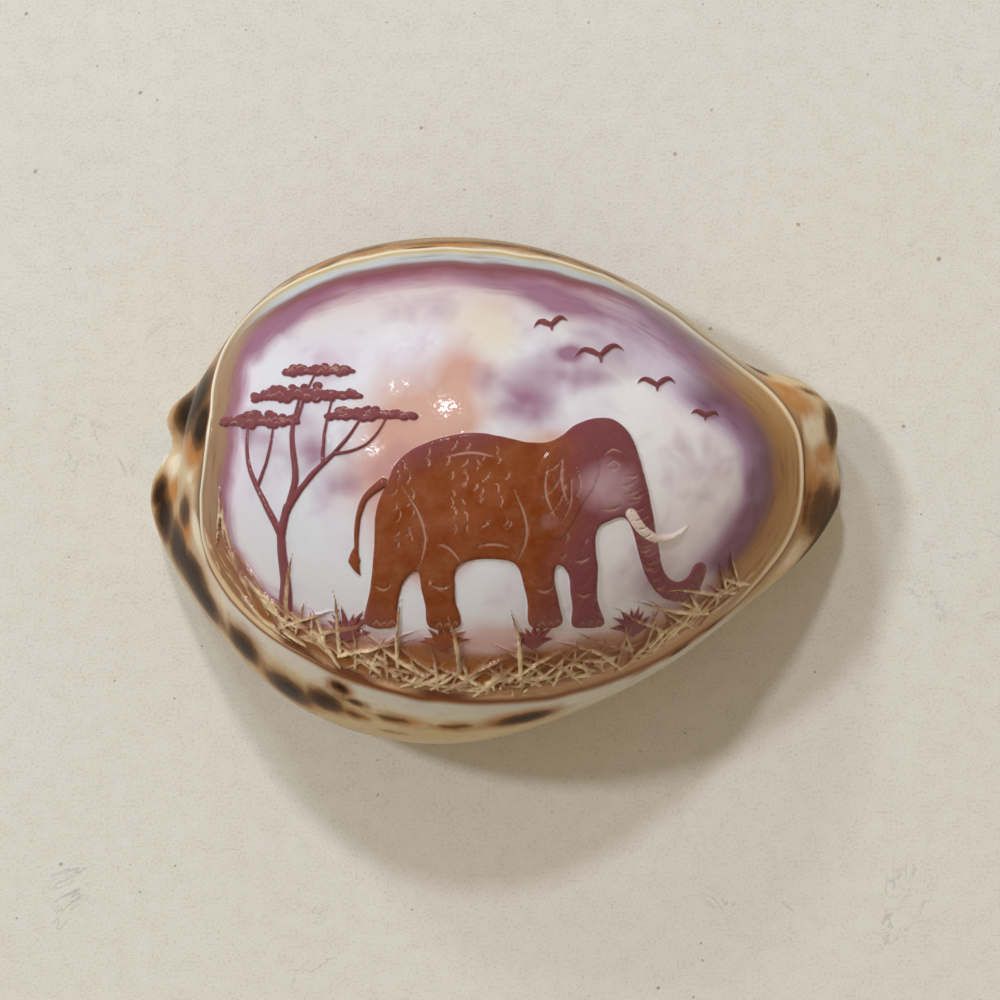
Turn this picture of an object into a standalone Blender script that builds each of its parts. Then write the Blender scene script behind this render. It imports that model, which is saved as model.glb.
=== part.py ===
"""Carved tiger cowrie shell: one hollow shell, lying on its toothed underside.

The shell is a thick sheet wrapped into an egg. Its edge is the long toothed slit of the
underside, which turns up into a notch at both ends. The back is ground down inside an
oval window, with a ledge all round, for the carving.

Axes: +X towards the narrow front end, +Y towards the inner (columellar) lip, +Z up.
The origin is on the resting plane under the middle of the shell's box.
"""

import math

import bmesh
import bpy
import numpy as np

LENGTH = 0.085
DRAWN_LENGTH = 85.3  # mm, the length that the rails below are drawn for
SCALE = LENGTH / DRAWN_LENGTH

# Rails: smooth lines that run from the hind end to the front end, as x, y, z in mm.
# Every rail has a point at the same stations, and a section hangs on the points of one.
CREST = (
    (-40.0, 5.7, 9.4), (-38.9, 5.4, 13.4), (-37.8, 4.8, 20.8), (-34.6, 4.0, 30.0),
    (-27.2, 2.8, 39.2), (-15.0, 1.8, 45.5), (-1.2, 1.4, 47.1), (12.8, 1.8, 43.8),
    (25.2, 2.8, 35.0), (34.0, 3.8, 24.0), (39.2, 4.4, 15.0), (41.8, 4.6, 9.8),
)
OUTER_MARGIN = (
    (-43.0, 0.4, 5.8), (-42.2, -4.0, 6.8), (-40.0, -9.2, 8.2), (-35.4, -15.8, 10.0),
    (-27.8, -23.8, 11.8), (-16.8, -29.4, 12.6), (-3.0, -30.5, 12.6), (11.0, -26.2, 12.0),
    (22.6, -20.0, 10.8), (32.6, -12.3, 9.4), (39.3, -6.0, 8.0), (42.4, 0.0, 6.4),
)
INNER_MARGIN = (
    (-40.8, 9.2, 6.4), (-38.9, 11.2, 8.0), (-36.4, 13.6, 10.0), (-33.2, 17.8, 12.4),
    (-27.6, 24.0, 14.4), (-17.0, 29.1, 15.2), (-3.0, 30.5, 15.2), (11.0, 27.4, 14.6),
    (22.6, 21.2, 13.2), (31.6, 14.9, 11.2), (38.3, 12.8, 9.0), (41.9, 8.2, 6.6),
)
OUTER_BASE = (
    (-42.6, 1.4, 3.0), (-41.6, -2.4, 2.0), (-39.2, -6.4, 1.0), (-34.4, -10.8, 0.0),
    (-27.2, -14.8, -0.5), (-16.2, -17.6, -0.5), (-2.4, -18.0, -0.5), (11.6, -15.6, -0.5),
    (23.0, -11.4, -0.4), (32.8, -7.0, 0.3), (39.0, -3.4, 1.6), (42.0, 1.0, 3.0),
)
INNER_BASE = (
    (-40.6, 8.6, 3.0), (-39.0, 9.4, 2.0), (-36.4, 10.4, 1.0), (-33.0, 11.8, 0.0),
    (-27.0, 13.6, -0.5), (-16.5, 14.6, -0.5), (-2.5, 14.4, -0.5), (11.5, 13.4, -0.5),
    (22.8, 12.0, -0.4), (32.0, 10.6, 0.3), (38.2, 9.8, 1.6), (41.6, 8.0, 3.0),
)
OUTER_LIP = (
    (-41.8, 3.7, 3.4), (-40.2, 2.6, 2.8), (-37.8, 1.2, 2.2), (-33.5, -1.0, 1.6),
    (-27.0, -3.8, 1.2), (-16.0, -6.0, 1.0), (-2.0, -6.4, 1.0), (12.0, -5.6, 1.0),
    (23.5, -3.6, 1.2), (33.0, -0.7, 1.8), (38.8, 1.4, 2.6), (41.9, 2.6, 3.4),
)
INNER_LIP = (
    (-40.6, 7.7, 3.4), (-39.2, 6.9, 2.8), (-37.0, 5.7, 2.2), (-33.2, 4.0, 1.6),
    (-27.0, 1.9, 1.2), (-16.5, 0.6, 1.0), (-2.5, 0.6, 1.0), (12.0, 1.7, 1.0),
    (23.2, 3.6, 1.2), (32.6, 5.3, 1.8), (38.4, 6.4, 2.6), (41.7, 6.6, 3.4),
)
CORE = (
    (-41.0, 5.7, 6.0), (-37.4, 5.2, 7.2), (-32.4, 4.4, 10.5), (-27.0, 3.2, 14.5),
    (-20.0, 1.8, 18.0), (-11.0, 0.9, 20.4), (-1.0, 0.6, 21.0), (10.0, 0.9, 19.6),
    (20.0, 2.0, 16.2), (28.5, 3.4, 11.8), (35.0, 4.3, 8.0), (41.4, 4.6, 6.0),
)

# How far across the sheet, from the crest at 0 to the lip's edge at 1, two rails lie.
MARGIN_AT = 0.60
BASE_AT = 0.81
ACROSS = 84.0  # mm from the crest to a lip's edge, along the surface
SMOOTHING = 0.022  # of the way across, which rounds the joins between the arcs

# The wall.
BACK_WALL = 3.0
MARGIN_WALL = 4.0
LIP_WALL = 4.2
END_WALL = 3.4
MOST_OF_DEPTH = 0.62  # of the way to the core, which keeps the canals open

# The teeth of the slit.
TOOTH_PITCH = 2.7
TOOTH_HEIGHT = 0.8
TOOTH_FROM, TOOTH_TO = 11.0, 92.0  # mm from the hind end, along the shell
TOOTH_FADE = 4.0
TOOTH_REACH_OUT = {-1: 6.4, 1: 4.2}  # mm from the edge, on the outer and the inner lip
TOOTH_REACH_IN = 5.0

# The ground window, as seen from above, in mm: its edge and the depth of its ledge.
WINDOW = (
    (-34.9, -3.4), (-34.3, 1.6), (-33.7, 7.2), (-33.3, 12.8), (-32.0, 18.2),
    (-29.0, 21.6), (-24.4, 24.4), (-18.6, 26.6), (-11.6, 28.0), (-4.4, 28.3),
    (3.0, 27.6), (10.0, 26.1), (16.6, 23.3), (23.0, 19.0), (29.0, 14.7),
    (33.4, 11.0), (35.8, 6.6), (36.4, 1.6), (35.8, -3.4), (33.3, -8.3),
    (28.6, -13.3), (22.8, -17.8), (16.4, -21.1), (9.0, -23.4), (1.2, -24.4),
    (-6.2, -24.2), (-13.0, -22.8), (-20.0, -20.3), (-26.2, -16.9), (-31.0, -12.8),
    (-33.9, -8.3),
)
LEDGE_DEPTH, LEDGE_WIDTH = 0.5, 0.9
SLOPE_DEPTH, SLOPE_WIDTH = 0.70, 4.5

# Swellings and hollows pushed into the ends: centre, radius and push, in mm.
SWELLS = (
    ((-40.4, 9.4, 7.0), 3.6, (-0.2, 0.4, 0.6)),  # hind lobe of the inner lip
    ((-42.0, -1.0, 7.0), 4.6, (-0.3, -0.2, 0.5)),  # hind lobe of the outer lip
    ((-37.6, 7.8, 16.0), 3.4, (1.5, -0.6, -0.8)),  # sunken spire
    ((-39.6, 5.8, 10.5), 2.6, (0.6, 0.0, -0.5)),  # hind canal's saddle
    ((41.2, 8.6, 7.0), 3.8, (0.2, 0.4, 0.5)),  # front lobe of the inner lip
    ((41.6, -0.8, 6.4), 4.0, (0.2, -0.3, 0.4)),  # front lobe of the outer lip
    ((41.0, 4.4, 11.0), 2.8, (-0.3, 0.0, -0.6)),  # front canal's saddle
)

# The flat pads under the shell: below this height the skin is pressed flat.
PAD_SOFTNESS = 0.25
PAD_TOLERANCE = 0.00003  # m, how far the thinning may lift a point off the plane

GRID_ALONG = 280
GRID_ROUND = 640
TRIANGLES = 9800

SHELL_CREAM = (0.80, 0.68, 0.50, 1.0)
SHELL_ROUGHNESS = 0.22


def smoothstep(low, high, value):
    """0 below low, 1 above high, and a smooth rise between them."""
    share = np.clip((value - low) / (high - low), 0, 1)
    return share * share * (3 - 2 * share)


def smooth_curve(knots, points):
    """A natural cubic spline through the points, as a function of the knots' parameter."""
    knots, points = np.asarray(knots, float), np.asarray(points, float)
    gaps = np.diff(knots)
    count = len(knots)
    matrix, right = np.eye(count), np.zeros_like(points)
    for i in range(1, count - 1):
        matrix[i, i - 1 : i + 2] = gaps[i - 1], 2 * (gaps[i - 1] + gaps[i]), gaps[i]
        after = (points[i + 1] - points[i]) / gaps[i]
        before = (points[i] - points[i - 1]) / gaps[i - 1]
        right[i] = 6 * (after - before)
    bends = np.linalg.solve(matrix, right)

    def at(where):
        i = np.clip(np.searchsorted(knots, where) - 1, 0, count - 2)
        gap = gaps[i][:, None]
        a = (knots[i + 1] - where)[:, None] / gap
        b = 1 - a
        bend = ((a**3 - a) * bends[i] + (b**3 - b) * bends[i + 1]) * gap**2 / 6
        return a * points[i] + b * points[i + 1] + bend

    return at


def station_places():
    """Each station's distance along the shell in mm, the mean over the rails."""
    rails = np.array([CREST, OUTER_MARGIN, INNER_MARGIN, OUTER_BASE, INNER_BASE])
    steps = np.linalg.norm(np.diff(rails, axis=1), axis=2).mean(axis=0)
    return np.concatenate([[0.0], np.cumsum(steps)])


PLACES = station_places()
ALONG = float(PLACES[-1])
crest, core = smooth_curve(PLACES, CREST), smooth_curve(PLACES, CORE)
margins = {-1: smooth_curve(PLACES, OUTER_MARGIN), 1: smooth_curve(PLACES, INNER_MARGIN)}
bases = {-1: smooth_curve(PLACES, OUTER_BASE), 1: smooth_curve(PLACES, INNER_BASE)}
lips = {-1: smooth_curve(PLACES, OUTER_LIP), 1: smooth_curve(PLACES, INNER_LIP)}


def section_point(place, across):
    """Points of the outer face: place in mm along the shell, across from -1 to 1."""
    out = np.zeros((len(place), 3))
    for side in (-1, 1):
        mine = across * side >= 0 if side > 0 else across < 0
        where, far = place[mine], np.abs(across[mine])
        top, wide, low, edge = (r(where) for r in (crest, margins[side], bases[side], lips[side]))
        turn = np.clip(far / MARGIN_AT, 0, 1) * math.pi / 2
        sine, cosine = np.sin(turn), np.cos(turn)
        back = np.stack(
            [
                top[:, 0] + (wide[:, 0] - top[:, 0]) * sine**2,
                top[:, 1] + (wide[:, 1] - top[:, 1]) * sine,
                wide[:, 2] + (top[:, 2] - wide[:, 2]) * cosine,
            ],
            axis=1,
        )
        turn = np.clip((far - MARGIN_AT) / (BASE_AT - MARGIN_AT), 0, 1) * math.pi / 2
        sine, cosine = np.sin(turn), np.cos(turn)
        under = np.stack(
            [
                wide[:, 0] + (low[:, 0] - wide[:, 0]) * sine**2,
                low[:, 1] + (wide[:, 1] - low[:, 1]) * cosine,
                wide[:, 2] + (low[:, 2] - wide[:, 2]) * sine,
            ],
            axis=1,
        )
        share = np.clip((far - BASE_AT) / (1 - BASE_AT), 0, 1)[:, None]
        floor = low + (edge - low) * np.concatenate([share, share, share**2], axis=1)
        far = far[:, None]
        out[mine] = np.where(far <= MARGIN_AT, back, np.where(far <= BASE_AT, under, floor))
    return out


def outer_face(place, across):
    """The outer face with the joins between its arcs smoothed."""
    total = np.zeros((len(place), 3))
    for step, weight in ((-2, 1), (-1, 4), (0, 6), (1, 4), (2, 1)):
        near = np.clip(across + step * SMOOTHING * (1 - across**2), -1, 1)
        total += weight / 16 * section_point(place, near)
    return total


def wall_thickness(place, across):
    """The wall in mm, thin over the back and thick at the lips."""
    far = np.abs(across)
    wall = BACK_WALL + (MARGIN_WALL - BACK_WALL) * smoothstep(0.25, MARGIN_AT, far)
    wall += (LIP_WALL - MARGIN_WALL) * smoothstep(MARGIN_AT, BASE_AT, far)
    from_end = np.minimum(place, ALONG - place)
    return END_WALL + (wall - END_WALL) * smoothstep(2.0, 16.0, from_end)


def rolled(distance, radius, whole):
    """Rolls the sheet's edge over: the distance kept, the fullness and the turn left."""
    turn = np.clip(distance / radius, 0, math.pi / 2)
    quarter = radius * math.pi / 2
    rest = np.clip(distance - quarter, 0, None) * (whole - radius) / (whole - quarter)
    return radius * (1 - np.cos(turn)) + rest, np.sin(turn), np.cos(turn)


def pressed_flat(height):
    """Heights pressed on a table: flat below the pad's softness, with a soft way in."""
    soft = PAD_SOFTNESS
    bend = (height + soft) ** 2 / (4 * soft)
    return np.where(height > soft, height, np.where(height < -soft, 0.0, bend))


def teeth(place, side, distance, inside):
    """The height of the teeth in mm at a distance from the lip's edge."""
    ridge = (0.5 + 0.5 * np.cos((place - TOOTH_FROM) / TOOTH_PITCH * 2 * math.pi)) ** 1.4
    ends = smoothstep(TOOTH_FROM - TOOTH_FADE, TOOTH_FROM + TOOTH_FADE, place)
    ends *= 1 - smoothstep(TOOTH_TO - TOOTH_FADE, TOOTH_TO + TOOTH_FADE, place)
    reach = np.where(side < 0, TOOTH_REACH_OUT[-1], TOOTH_REACH_OUT[1])
    reach = np.where(inside, TOOTH_REACH_IN, reach)
    return TOOTH_HEIGHT * ridge * ends * (1 - smoothstep(0.45, 1.0, distance / reach))


def window_outline():
    """The window's edge as a closed line of short steps."""
    points = np.array(WINDOW)
    ring = np.concatenate([points[-3:], points, points[:3]])
    knots = np.concatenate([[0], np.cumsum(np.linalg.norm(np.diff(ring, axis=0), axis=1))])
    curve = smooth_curve(knots, ring)
    return curve(np.linspace(knots[3], knots[3 + len(points)], 240, endpoint=False))


def signed_distance(points, ring):
    """The distance of each point in plan from a closed line, negative inside it."""
    starts, ends = ring, np.roll(ring, -1, axis=0)
    nearest = np.full(len(points), np.inf)
    inside = np.zeros(len(points), bool)
    for a, b in zip(starts, ends):
        run = b - a
        share = np.clip((points - a) @ run / (run @ run), 0, 1)
        nearest = np.minimum(nearest, np.linalg.norm(points - a - share[:, None] * run, axis=1))
        crosses = (a[1] > points[:, 1]) != (b[1] > points[:, 1])
        rise = b[1] - a[1] or 1e-12
        inside ^= crosses & (points[:, 0] < a[0] + (points[:, 1] - a[1]) * run[0] / rise)
    return np.where(inside, -nearest, nearest)


def shell_points(along, round_it):
    """Maps the flat sheet to the shell, in mm. Both arguments run from -1 to 1."""
    place = (along + 1) / 2 * ALONG
    loop = round_it * 2
    inside = np.abs(loop) > 1
    side = np.where(loop < 0, -1, 1)
    far = np.where(inside, 2 - np.abs(loop), np.abs(loop))

    from_lip, lip_full, lip_turn = rolled((1 - far) * ACROSS, LIP_WALL / 2, ACROSS)
    near_end = np.minimum(place, ALONG - place)
    from_end, end_full, _ = rolled(near_end, END_WALL / 2, ALONG / 2)
    kept_place = np.where(place < ALONG / 2, from_end, ALONG - from_end)
    kept_across = side * (1 - from_lip / ACROSS)

    skin = outer_face(kept_place, kept_across)
    to_core = core(kept_place) - skin
    depth = np.linalg.norm(to_core, axis=1)
    inward = to_core / depth[:, None]
    wall = np.minimum(wall_thickness(kept_place, kept_across), MOST_OF_DEPTH * depth)
    full = lip_full * end_full
    sunk = wall / 2 * np.where(inside, 1 + full, 1 - full)
    points = skin + inward * sunk[:, None]

    step = 0.01
    lipward = skin - outer_face(kept_place, kept_across * (1 - step))
    lipward /= np.maximum(np.linalg.norm(lipward, axis=1), 1e-9)[:, None]
    facing = inward * np.where(inside, full, -full)[:, None] + lipward * lip_turn[:, None]
    facing /= np.maximum(np.linalg.norm(facing, axis=1), 1e-9)[:, None]
    points += facing * teeth(place, side, (1 - far) * ACROSS, inside)[:, None]

    back = ~inside & (far < MARGIN_AT)
    edge = -signed_distance(points[back, :2], window_outline())
    ground = LEDGE_DEPTH * smoothstep(0, LEDGE_WIDTH, edge)
    ground += SLOPE_DEPTH * smoothstep(0, SLOPE_WIDTH, edge)
    points[back] += inward[back] * ground[:, None]

    for centre, radius, push in SWELLS:
        near = np.linalg.norm(points - np.array(centre), axis=1) / radius
        points += np.exp(-(near**2))[:, None] * np.array(push)
    outside = ~inside
    points[outside, 2] = pressed_flat(points[outside, 2])
    return points


def shell_mesh():
    """The closed shell: a flat grid, wrapped round and sewn along its edges."""
    sheet = bmesh.new()
    bmesh.ops.create_grid(sheet, x_segments=GRID_ALONG, y_segments=GRID_ROUND, size=1)
    flat = np.array([v.co for v in sheet.verts])
    points = shell_points(flat[:, 0], flat[:, 1])
    middle = (points.max(axis=0) + points.min(axis=0)) / 2
    points -= (middle[0], middle[1], points[:, 2].min())
    for vertex, point in zip(sheet.verts, points * SCALE):
        vertex.co = point
    bmesh.ops.remove_doubles(sheet, verts=sheet.verts, dist=0.00002)
    bmesh.ops.recalc_face_normals(sheet, faces=sheet.faces)
    bmesh.ops.triangulate(sheet, faces=sheet.faces)
    return sheet


def shell_material():
    """Glossy cream enamel."""
    material = bpy.data.materials.new("shell_enamel")
    material.use_nodes = True
    shader = material.node_tree.nodes["Principled BSDF"]
    shader.inputs["Base Color"].default_value = SHELL_CREAM
    shader.inputs["Roughness"].default_value = SHELL_ROUGHNESS
    shader.inputs["Metallic"].default_value = 0.0
    return material


def main():
    """Clears the scene and builds the shell."""
    for old in list(bpy.data.objects):
        bpy.data.objects.remove(old)
    sheet = shell_mesh()
    count = len(sheet.faces)
    mesh = bpy.data.meshes.new("shell")
    sheet.to_mesh(mesh)
    sheet.free()
    mesh.shade_smooth()
    mesh.materials.append(shell_material())
    shell = bpy.data.objects.new("shell", mesh)
    bpy.context.collection.objects.link(shell)
    thin_out = shell.modifiers.new("thin_out", "DECIMATE")
    thin_out.ratio = TRIANGLES / count
    bpy.context.view_layer.objects.active = shell
    bpy.ops.object.modifier_apply(modifier="thin_out")
    for vertex in mesh.vertices:
        if vertex.co.z < PAD_TOLERANCE:
            vertex.co.z = 0


main()
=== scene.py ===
"""Dresses the carved tiger cowrie shell for its picture.

The shell is one closed piece: a flat sheet wrapped into an egg, whose back is ground to a
pale window and carved in low relief with a savannah scene above a bed of grass. The sheet
is finer where the carving is. Its colours come from named measures that each point of the
mesh carries, such as how far inside the window's edge it lies.

Lengths are in mm unless a name says otherwise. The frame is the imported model's:
+X towards the narrow front end, +Y towards the inner lip's side, +Z up.
"""

from __future__ import annotations

import logging
import math
from collections.abc import Sequence
from dataclasses import dataclass, field
from enum import Enum
from functools import reduce
from typing import Self

import bmesh
import bpy
import numpy as np
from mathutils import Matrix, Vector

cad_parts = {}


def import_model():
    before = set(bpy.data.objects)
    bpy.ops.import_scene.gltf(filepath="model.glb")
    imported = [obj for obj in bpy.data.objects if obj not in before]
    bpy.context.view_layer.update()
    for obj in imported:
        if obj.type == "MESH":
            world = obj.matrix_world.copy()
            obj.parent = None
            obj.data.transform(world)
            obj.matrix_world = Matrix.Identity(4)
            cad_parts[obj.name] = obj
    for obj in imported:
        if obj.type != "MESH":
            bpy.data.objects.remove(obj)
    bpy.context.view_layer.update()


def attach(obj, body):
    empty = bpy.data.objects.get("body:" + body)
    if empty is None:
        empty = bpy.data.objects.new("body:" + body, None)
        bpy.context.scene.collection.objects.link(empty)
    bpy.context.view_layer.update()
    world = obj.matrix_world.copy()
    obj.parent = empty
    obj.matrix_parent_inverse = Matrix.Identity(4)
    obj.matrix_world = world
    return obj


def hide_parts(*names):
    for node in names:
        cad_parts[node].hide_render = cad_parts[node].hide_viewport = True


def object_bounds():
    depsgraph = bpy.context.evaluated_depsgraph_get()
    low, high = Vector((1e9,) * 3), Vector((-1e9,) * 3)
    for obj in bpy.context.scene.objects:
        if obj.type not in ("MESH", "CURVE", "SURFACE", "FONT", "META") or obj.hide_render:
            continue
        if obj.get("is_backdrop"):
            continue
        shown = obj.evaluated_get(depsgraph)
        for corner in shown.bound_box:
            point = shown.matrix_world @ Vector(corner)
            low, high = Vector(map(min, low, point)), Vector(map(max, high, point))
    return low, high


Array = np.ndarray
Colour = tuple[float, float, float, float]
Point = tuple[float, float]
Place = tuple[float, float, float]
Line = tuple[Point, ...]
Rail = tuple[Place, ...]
Widths = tuple[float, ...]
Stops = Sequence[tuple[float, Colour]]

MM = 0.001
TINY = 1e-9
FAR_AWAY = 9.0  # what a signed distance is cut off at
LIGHT_LEVEL = 0.90  # how bright a white surface that faces up is drawn
PALEST = 0.95  # the most light that any surface gives back
BUMP_REACH = 0.0003  # m, the height that the bumps stand for
WINDOW_MIDDLE: Point = (0.6, 1.6)

log = logging.getLogger("carved_cowrie")


def smoothstep(low: float, high: float, value: Array) -> Array:
    """Rises smoothly from 0, at low and below it, to 1, at high and above it."""
    share = np.clip((value - low) / (high - low), 0, 1)
    return share * share * (3 - 2 * share)


def quarter_turn(low: float, high: float, value: Array) -> tuple[Array, Array]:
    """Gives the sine and the cosine of a quarter turn that runs from low to high."""
    turn = np.clip((value - low) / (high - low), 0, 1) * math.pi / 2
    return np.sin(turn), np.cos(turn)


def unit(vectors: Array) -> Array:
    """Gives vectors, one to a row, a length of 1."""
    return vectors / np.maximum(np.linalg.norm(vectors, axis=-1, keepdims=True), TINY)


def turned(x: Array, y: Array, degrees: float) -> tuple[Array, Array]:
    """Gives how far points lie along and across a direction."""
    cosine, sine = math.cos(math.radians(degrees)), math.sin(math.radians(degrees))
    return x * cosine + y * sine, y * cosine - x * sine


def distance_along(points: Array) -> Array:
    """Gives how far along a chain of straight steps each point lies."""
    steps = np.linalg.norm(np.diff(points, axis=0), axis=1)
    return np.concatenate([[0.0], np.cumsum(steps)])


def linear(share: float) -> float:
    """Undoes the usual sRGB curve for one part of a colour, from 0 to 1."""
    return share / 12.92 if share < 0.04045 else ((share + 0.055) / 1.055) ** 2.4


def seen(*parts: int) -> Colour:
    """Turns red, green and blue as seen in the picture, 0 to 255, into a surface colour."""
    return (*(min(linear(part / 255) / LIGHT_LEVEL, PALEST) for part in parts), 1.0)


@dataclass(frozen=True)
class SmoothCurve:
    """A natural cubic spline through points, by a rising parameter."""

    knots: Array
    points: Array
    bends: Array

    @classmethod
    def through(cls, knots: Array, points: Array) -> SmoothCurve:
        """Fits the spline.

        Args:
            knots: the parameter at each point.
            points: the points, one to a row.

        Returns:
            The spline.
        """
        gaps = np.diff(knots)
        count = len(knots)
        matrix, right = np.eye(count), np.zeros_like(points)
        for i in range(1, count - 1):
            matrix[i, i - 1 : i + 2] = gaps[i - 1], 2 * (gaps[i - 1] + gaps[i]), gaps[i]
            after = (points[i + 1] - points[i]) / gaps[i]
            before = (points[i] - points[i - 1]) / gaps[i - 1]
            right[i] = 6 * (after - before)
        return cls(knots, points, np.linalg.solve(matrix, right))

    @classmethod
    def along(cls, points: Sequence[Sequence[float]]) -> SmoothCurve:
        """Fits the spline through points in order, by the length of its chords."""
        rows = np.asarray(points, float)
        return cls.through(distance_along(rows), rows)

    def at(self, where: Array) -> Array:
        """Gives points of the spline.

        Args:
            where: the parameters.

        Returns:
            One point to a row.
        """
        gaps = np.diff(self.knots)
        i = np.clip(np.searchsorted(self.knots, where) - 1, 0, len(gaps) - 1)
        gap = gaps[i][:, None]
        a = (self.knots[i + 1] - where)[:, None] / gap
        b = 1 - a
        bend = ((a**3 - a) * self.bends[i] + (b**3 - b) * self.bends[i + 1]) * gap**2 / 6
        return a * self.points[i] + b * self.points[i + 1] + bend


def closed_line(points: Sequence[Point], steps: int) -> Array:
    """Draws a smooth closed line through points.

    Args:
        points: the points in order, the first not repeated.
        steps: how many short steps the line has.

    Returns:
        The line's points, the first not repeated.
    """
    lap = 3  # points repeated at each end, so that the ends join smoothly
    rows = np.asarray(points, float)
    curve = SmoothCurve.along(np.concatenate([rows[-lap:], rows, rows[:lap]]))
    first, last = curve.knots[lap], curve.knots[lap + len(rows)]
    return curve.at(np.linspace(first, last, steps, endpoint=False))


def nearest_on(points: Array, starts: Array, ends: Array) -> tuple[Array, Array]:
    """Measures points against a chain of straight steps.

    Args:
        points: the points to measure, in plan.
        starts: where each step starts.
        ends: where each step ends.

    Returns:
        The distance of each point from the chain, and the share of the way along it.
    """
    best = np.full(len(points), np.inf)
    where = np.zeros(len(points))
    for i, (start, end) in enumerate(zip(starts, ends)):
        run = end - start
        away = points - start
        share = np.clip(away @ run / max(run @ run, TINY), 0, 1)
        gap = np.hypot(away[:, 0] - share * run[0], away[:, 1] - share * run[1])
        closer = gap < best
        best[closer] = gap[closer]
        where[closer] = (i + share[closer]) / len(starts)
    return best, where


def encloses(points: Array, ring: Array) -> Array:
    """Tells which points a closed line goes round.

    Args:
        points: the points, in plan.
        ring: the closed line's points.

    Returns:
        True for each point inside.
    """
    inside = np.zeros(len(points), bool)
    for a, b in zip(ring, np.roll(ring, -1, axis=0)):
        crosses = (a[1] > points[:, 1]) != (b[1] > points[:, 1])
        rise = b[1] - a[1] or TINY
        inside ^= crosses & (points[:, 0] < a[0] + (points[:, 1] - a[1]) * (b[0] - a[0]) / rise)
    return inside


def depth_in(plan: Array, ring: Array) -> tuple[Array, Array]:
    """Gives how far inside a closed line points lie, and the share of the way round it."""
    gap, share = nearest_on(plan, ring, np.roll(ring, -1, axis=0))
    return np.where(encloses(plan, ring), gap, -gap), share


def patchy(plan: Array, grain: float, seed: int) -> Array:
    """Gives smooth random numbers over the plan.

    Args:
        plan: the points in plan.
        grain: the size of the patches.
        seed: which pattern it is.

    Returns:
        Numbers from -1 to 1.
    """
    cells = 64  # after so many patches the pattern repeats
    table = np.random.default_rng(seed).uniform(-1, 1, (cells, cells))
    cell = np.floor(plan / grain).astype(int)
    x, y = smoothstep(0, 1, plan / grain - cell).T
    i, j = (cell % cells).T
    a, b = (i + 1) % cells, (j + 1) % cells
    low = table[i, j] * (1 - x) + table[a, j] * x
    high = table[i, b] * (1 - x) + table[a, b] * x
    return low * (1 - y) + high * y


def unsteady(plan: Array, reach: float, grain: float, seed: int) -> Array:
    """Shifts points by up to reach, so that what is measured there looks cut by hand."""
    shift = [patchy(plan, grain, seed), patchy(plan, grain, seed + 1)]
    return plan + reach * np.stack(shift, axis=1)


class Shape:
    """Something drawn in plan on the back of the shell."""

    def line(self) -> Array:
        """Gives the points that the shape is drawn through."""
        raise NotImplementedError

    def measure(self, plan: Array) -> tuple[Array, Array]:
        """Gives how far inside the shape points near it lie, and the share of the way along it."""
        raise NotImplementedError

    def depth_inside(self, plan: Array, margin: float = 2.5) -> tuple[Array, Array]:
        """Measures all points, those far off only roughly.

        Args:
            plan: the points in plan.
            margin: how far round the shape points are measured.

        Returns:
            How far inside the shape each point lies, and the share of the way along it.
        """
        line = self.line()
        low, high = line.min(axis=0) - margin, line.max(axis=0) + margin
        near = np.all((plan > low) & (plan < high), axis=1)
        depth = np.full(len(plan), -FAR_AWAY)
        share = np.zeros(len(plan))
        if near.any():
            depth[near], share[near] = self.measure(plan[near])
        return depth, share


@dataclass(frozen=True)
class Outline(Shape):
    """A closed smooth shape in plan."""

    points: Line
    steps: int = 160

    def line(self) -> Array:
        """Gives the closed line in short steps."""
        return closed_line(self.points, self.steps)

    def measure(self, plan: Array) -> tuple[Array, Array]:
        """Gives how far inside the shape points lie, and the share of the way round it."""
        return depth_in(plan, self.line())


@dataclass(frozen=True)
class Stroke(Shape):
    """A line in plan whose width changes on the way."""

    points: Line
    widths: Widths
    steps: int = 14

    def line(self) -> Array:
        """Gives the middle of the line in short steps."""
        curve = SmoothCurve.along(self.points)
        return curve.at(np.linspace(0, curve.knots[-1], self.steps + 1))

    def half_width(self, share: Array) -> Array:
        """Gives half the line's width at shares of the way along it."""
        return np.interp(share, np.linspace(0, 1, len(self.widths)), self.widths) / 2

    def measure(self, plan: Array) -> tuple[Array, Array]:
        """Gives how far inside the line's width points lie, and the share of the way along it."""
        gap, share = nearest_on(plan, self.line()[:-1], self.line()[1:])
        return self.half_width(share) - gap, share


@dataclass(frozen=True)
class Leaves(Shape):
    """A mass of small leaves: the middle and the half size of each."""

    leaves: tuple[tuple[Point, float], ...]
    flat: float = 1.3

    def line(self) -> Array:
        """Gives the leaves' middles."""
        return np.array([middle for middle, _ in self.leaves])

    def measure(self, plan: Array) -> tuple[Array, Array]:
        """Gives how far inside the nearest leaf points lie, and zeros."""
        x, y = plan.T
        each = (size - np.hypot(x - a, (y - b) * self.flat) for (a, b), size in self.leaves)
        return reduce(np.maximum, each), np.zeros(len(plan))


def joined(shapes: Sequence[Shape], plan: Array) -> Array:
    """Gives how far inside the nearest of several shapes points lie."""
    return reduce(np.maximum, (shape.depth_inside(plan)[0] for shape in shapes))


@dataclass(frozen=True)
class Skin:
    """Points of the wrapped sheet before the carving, and what is known of each."""

    points: Array
    inward: Array
    inside: Array
    far: Array
    place: Array


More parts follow.
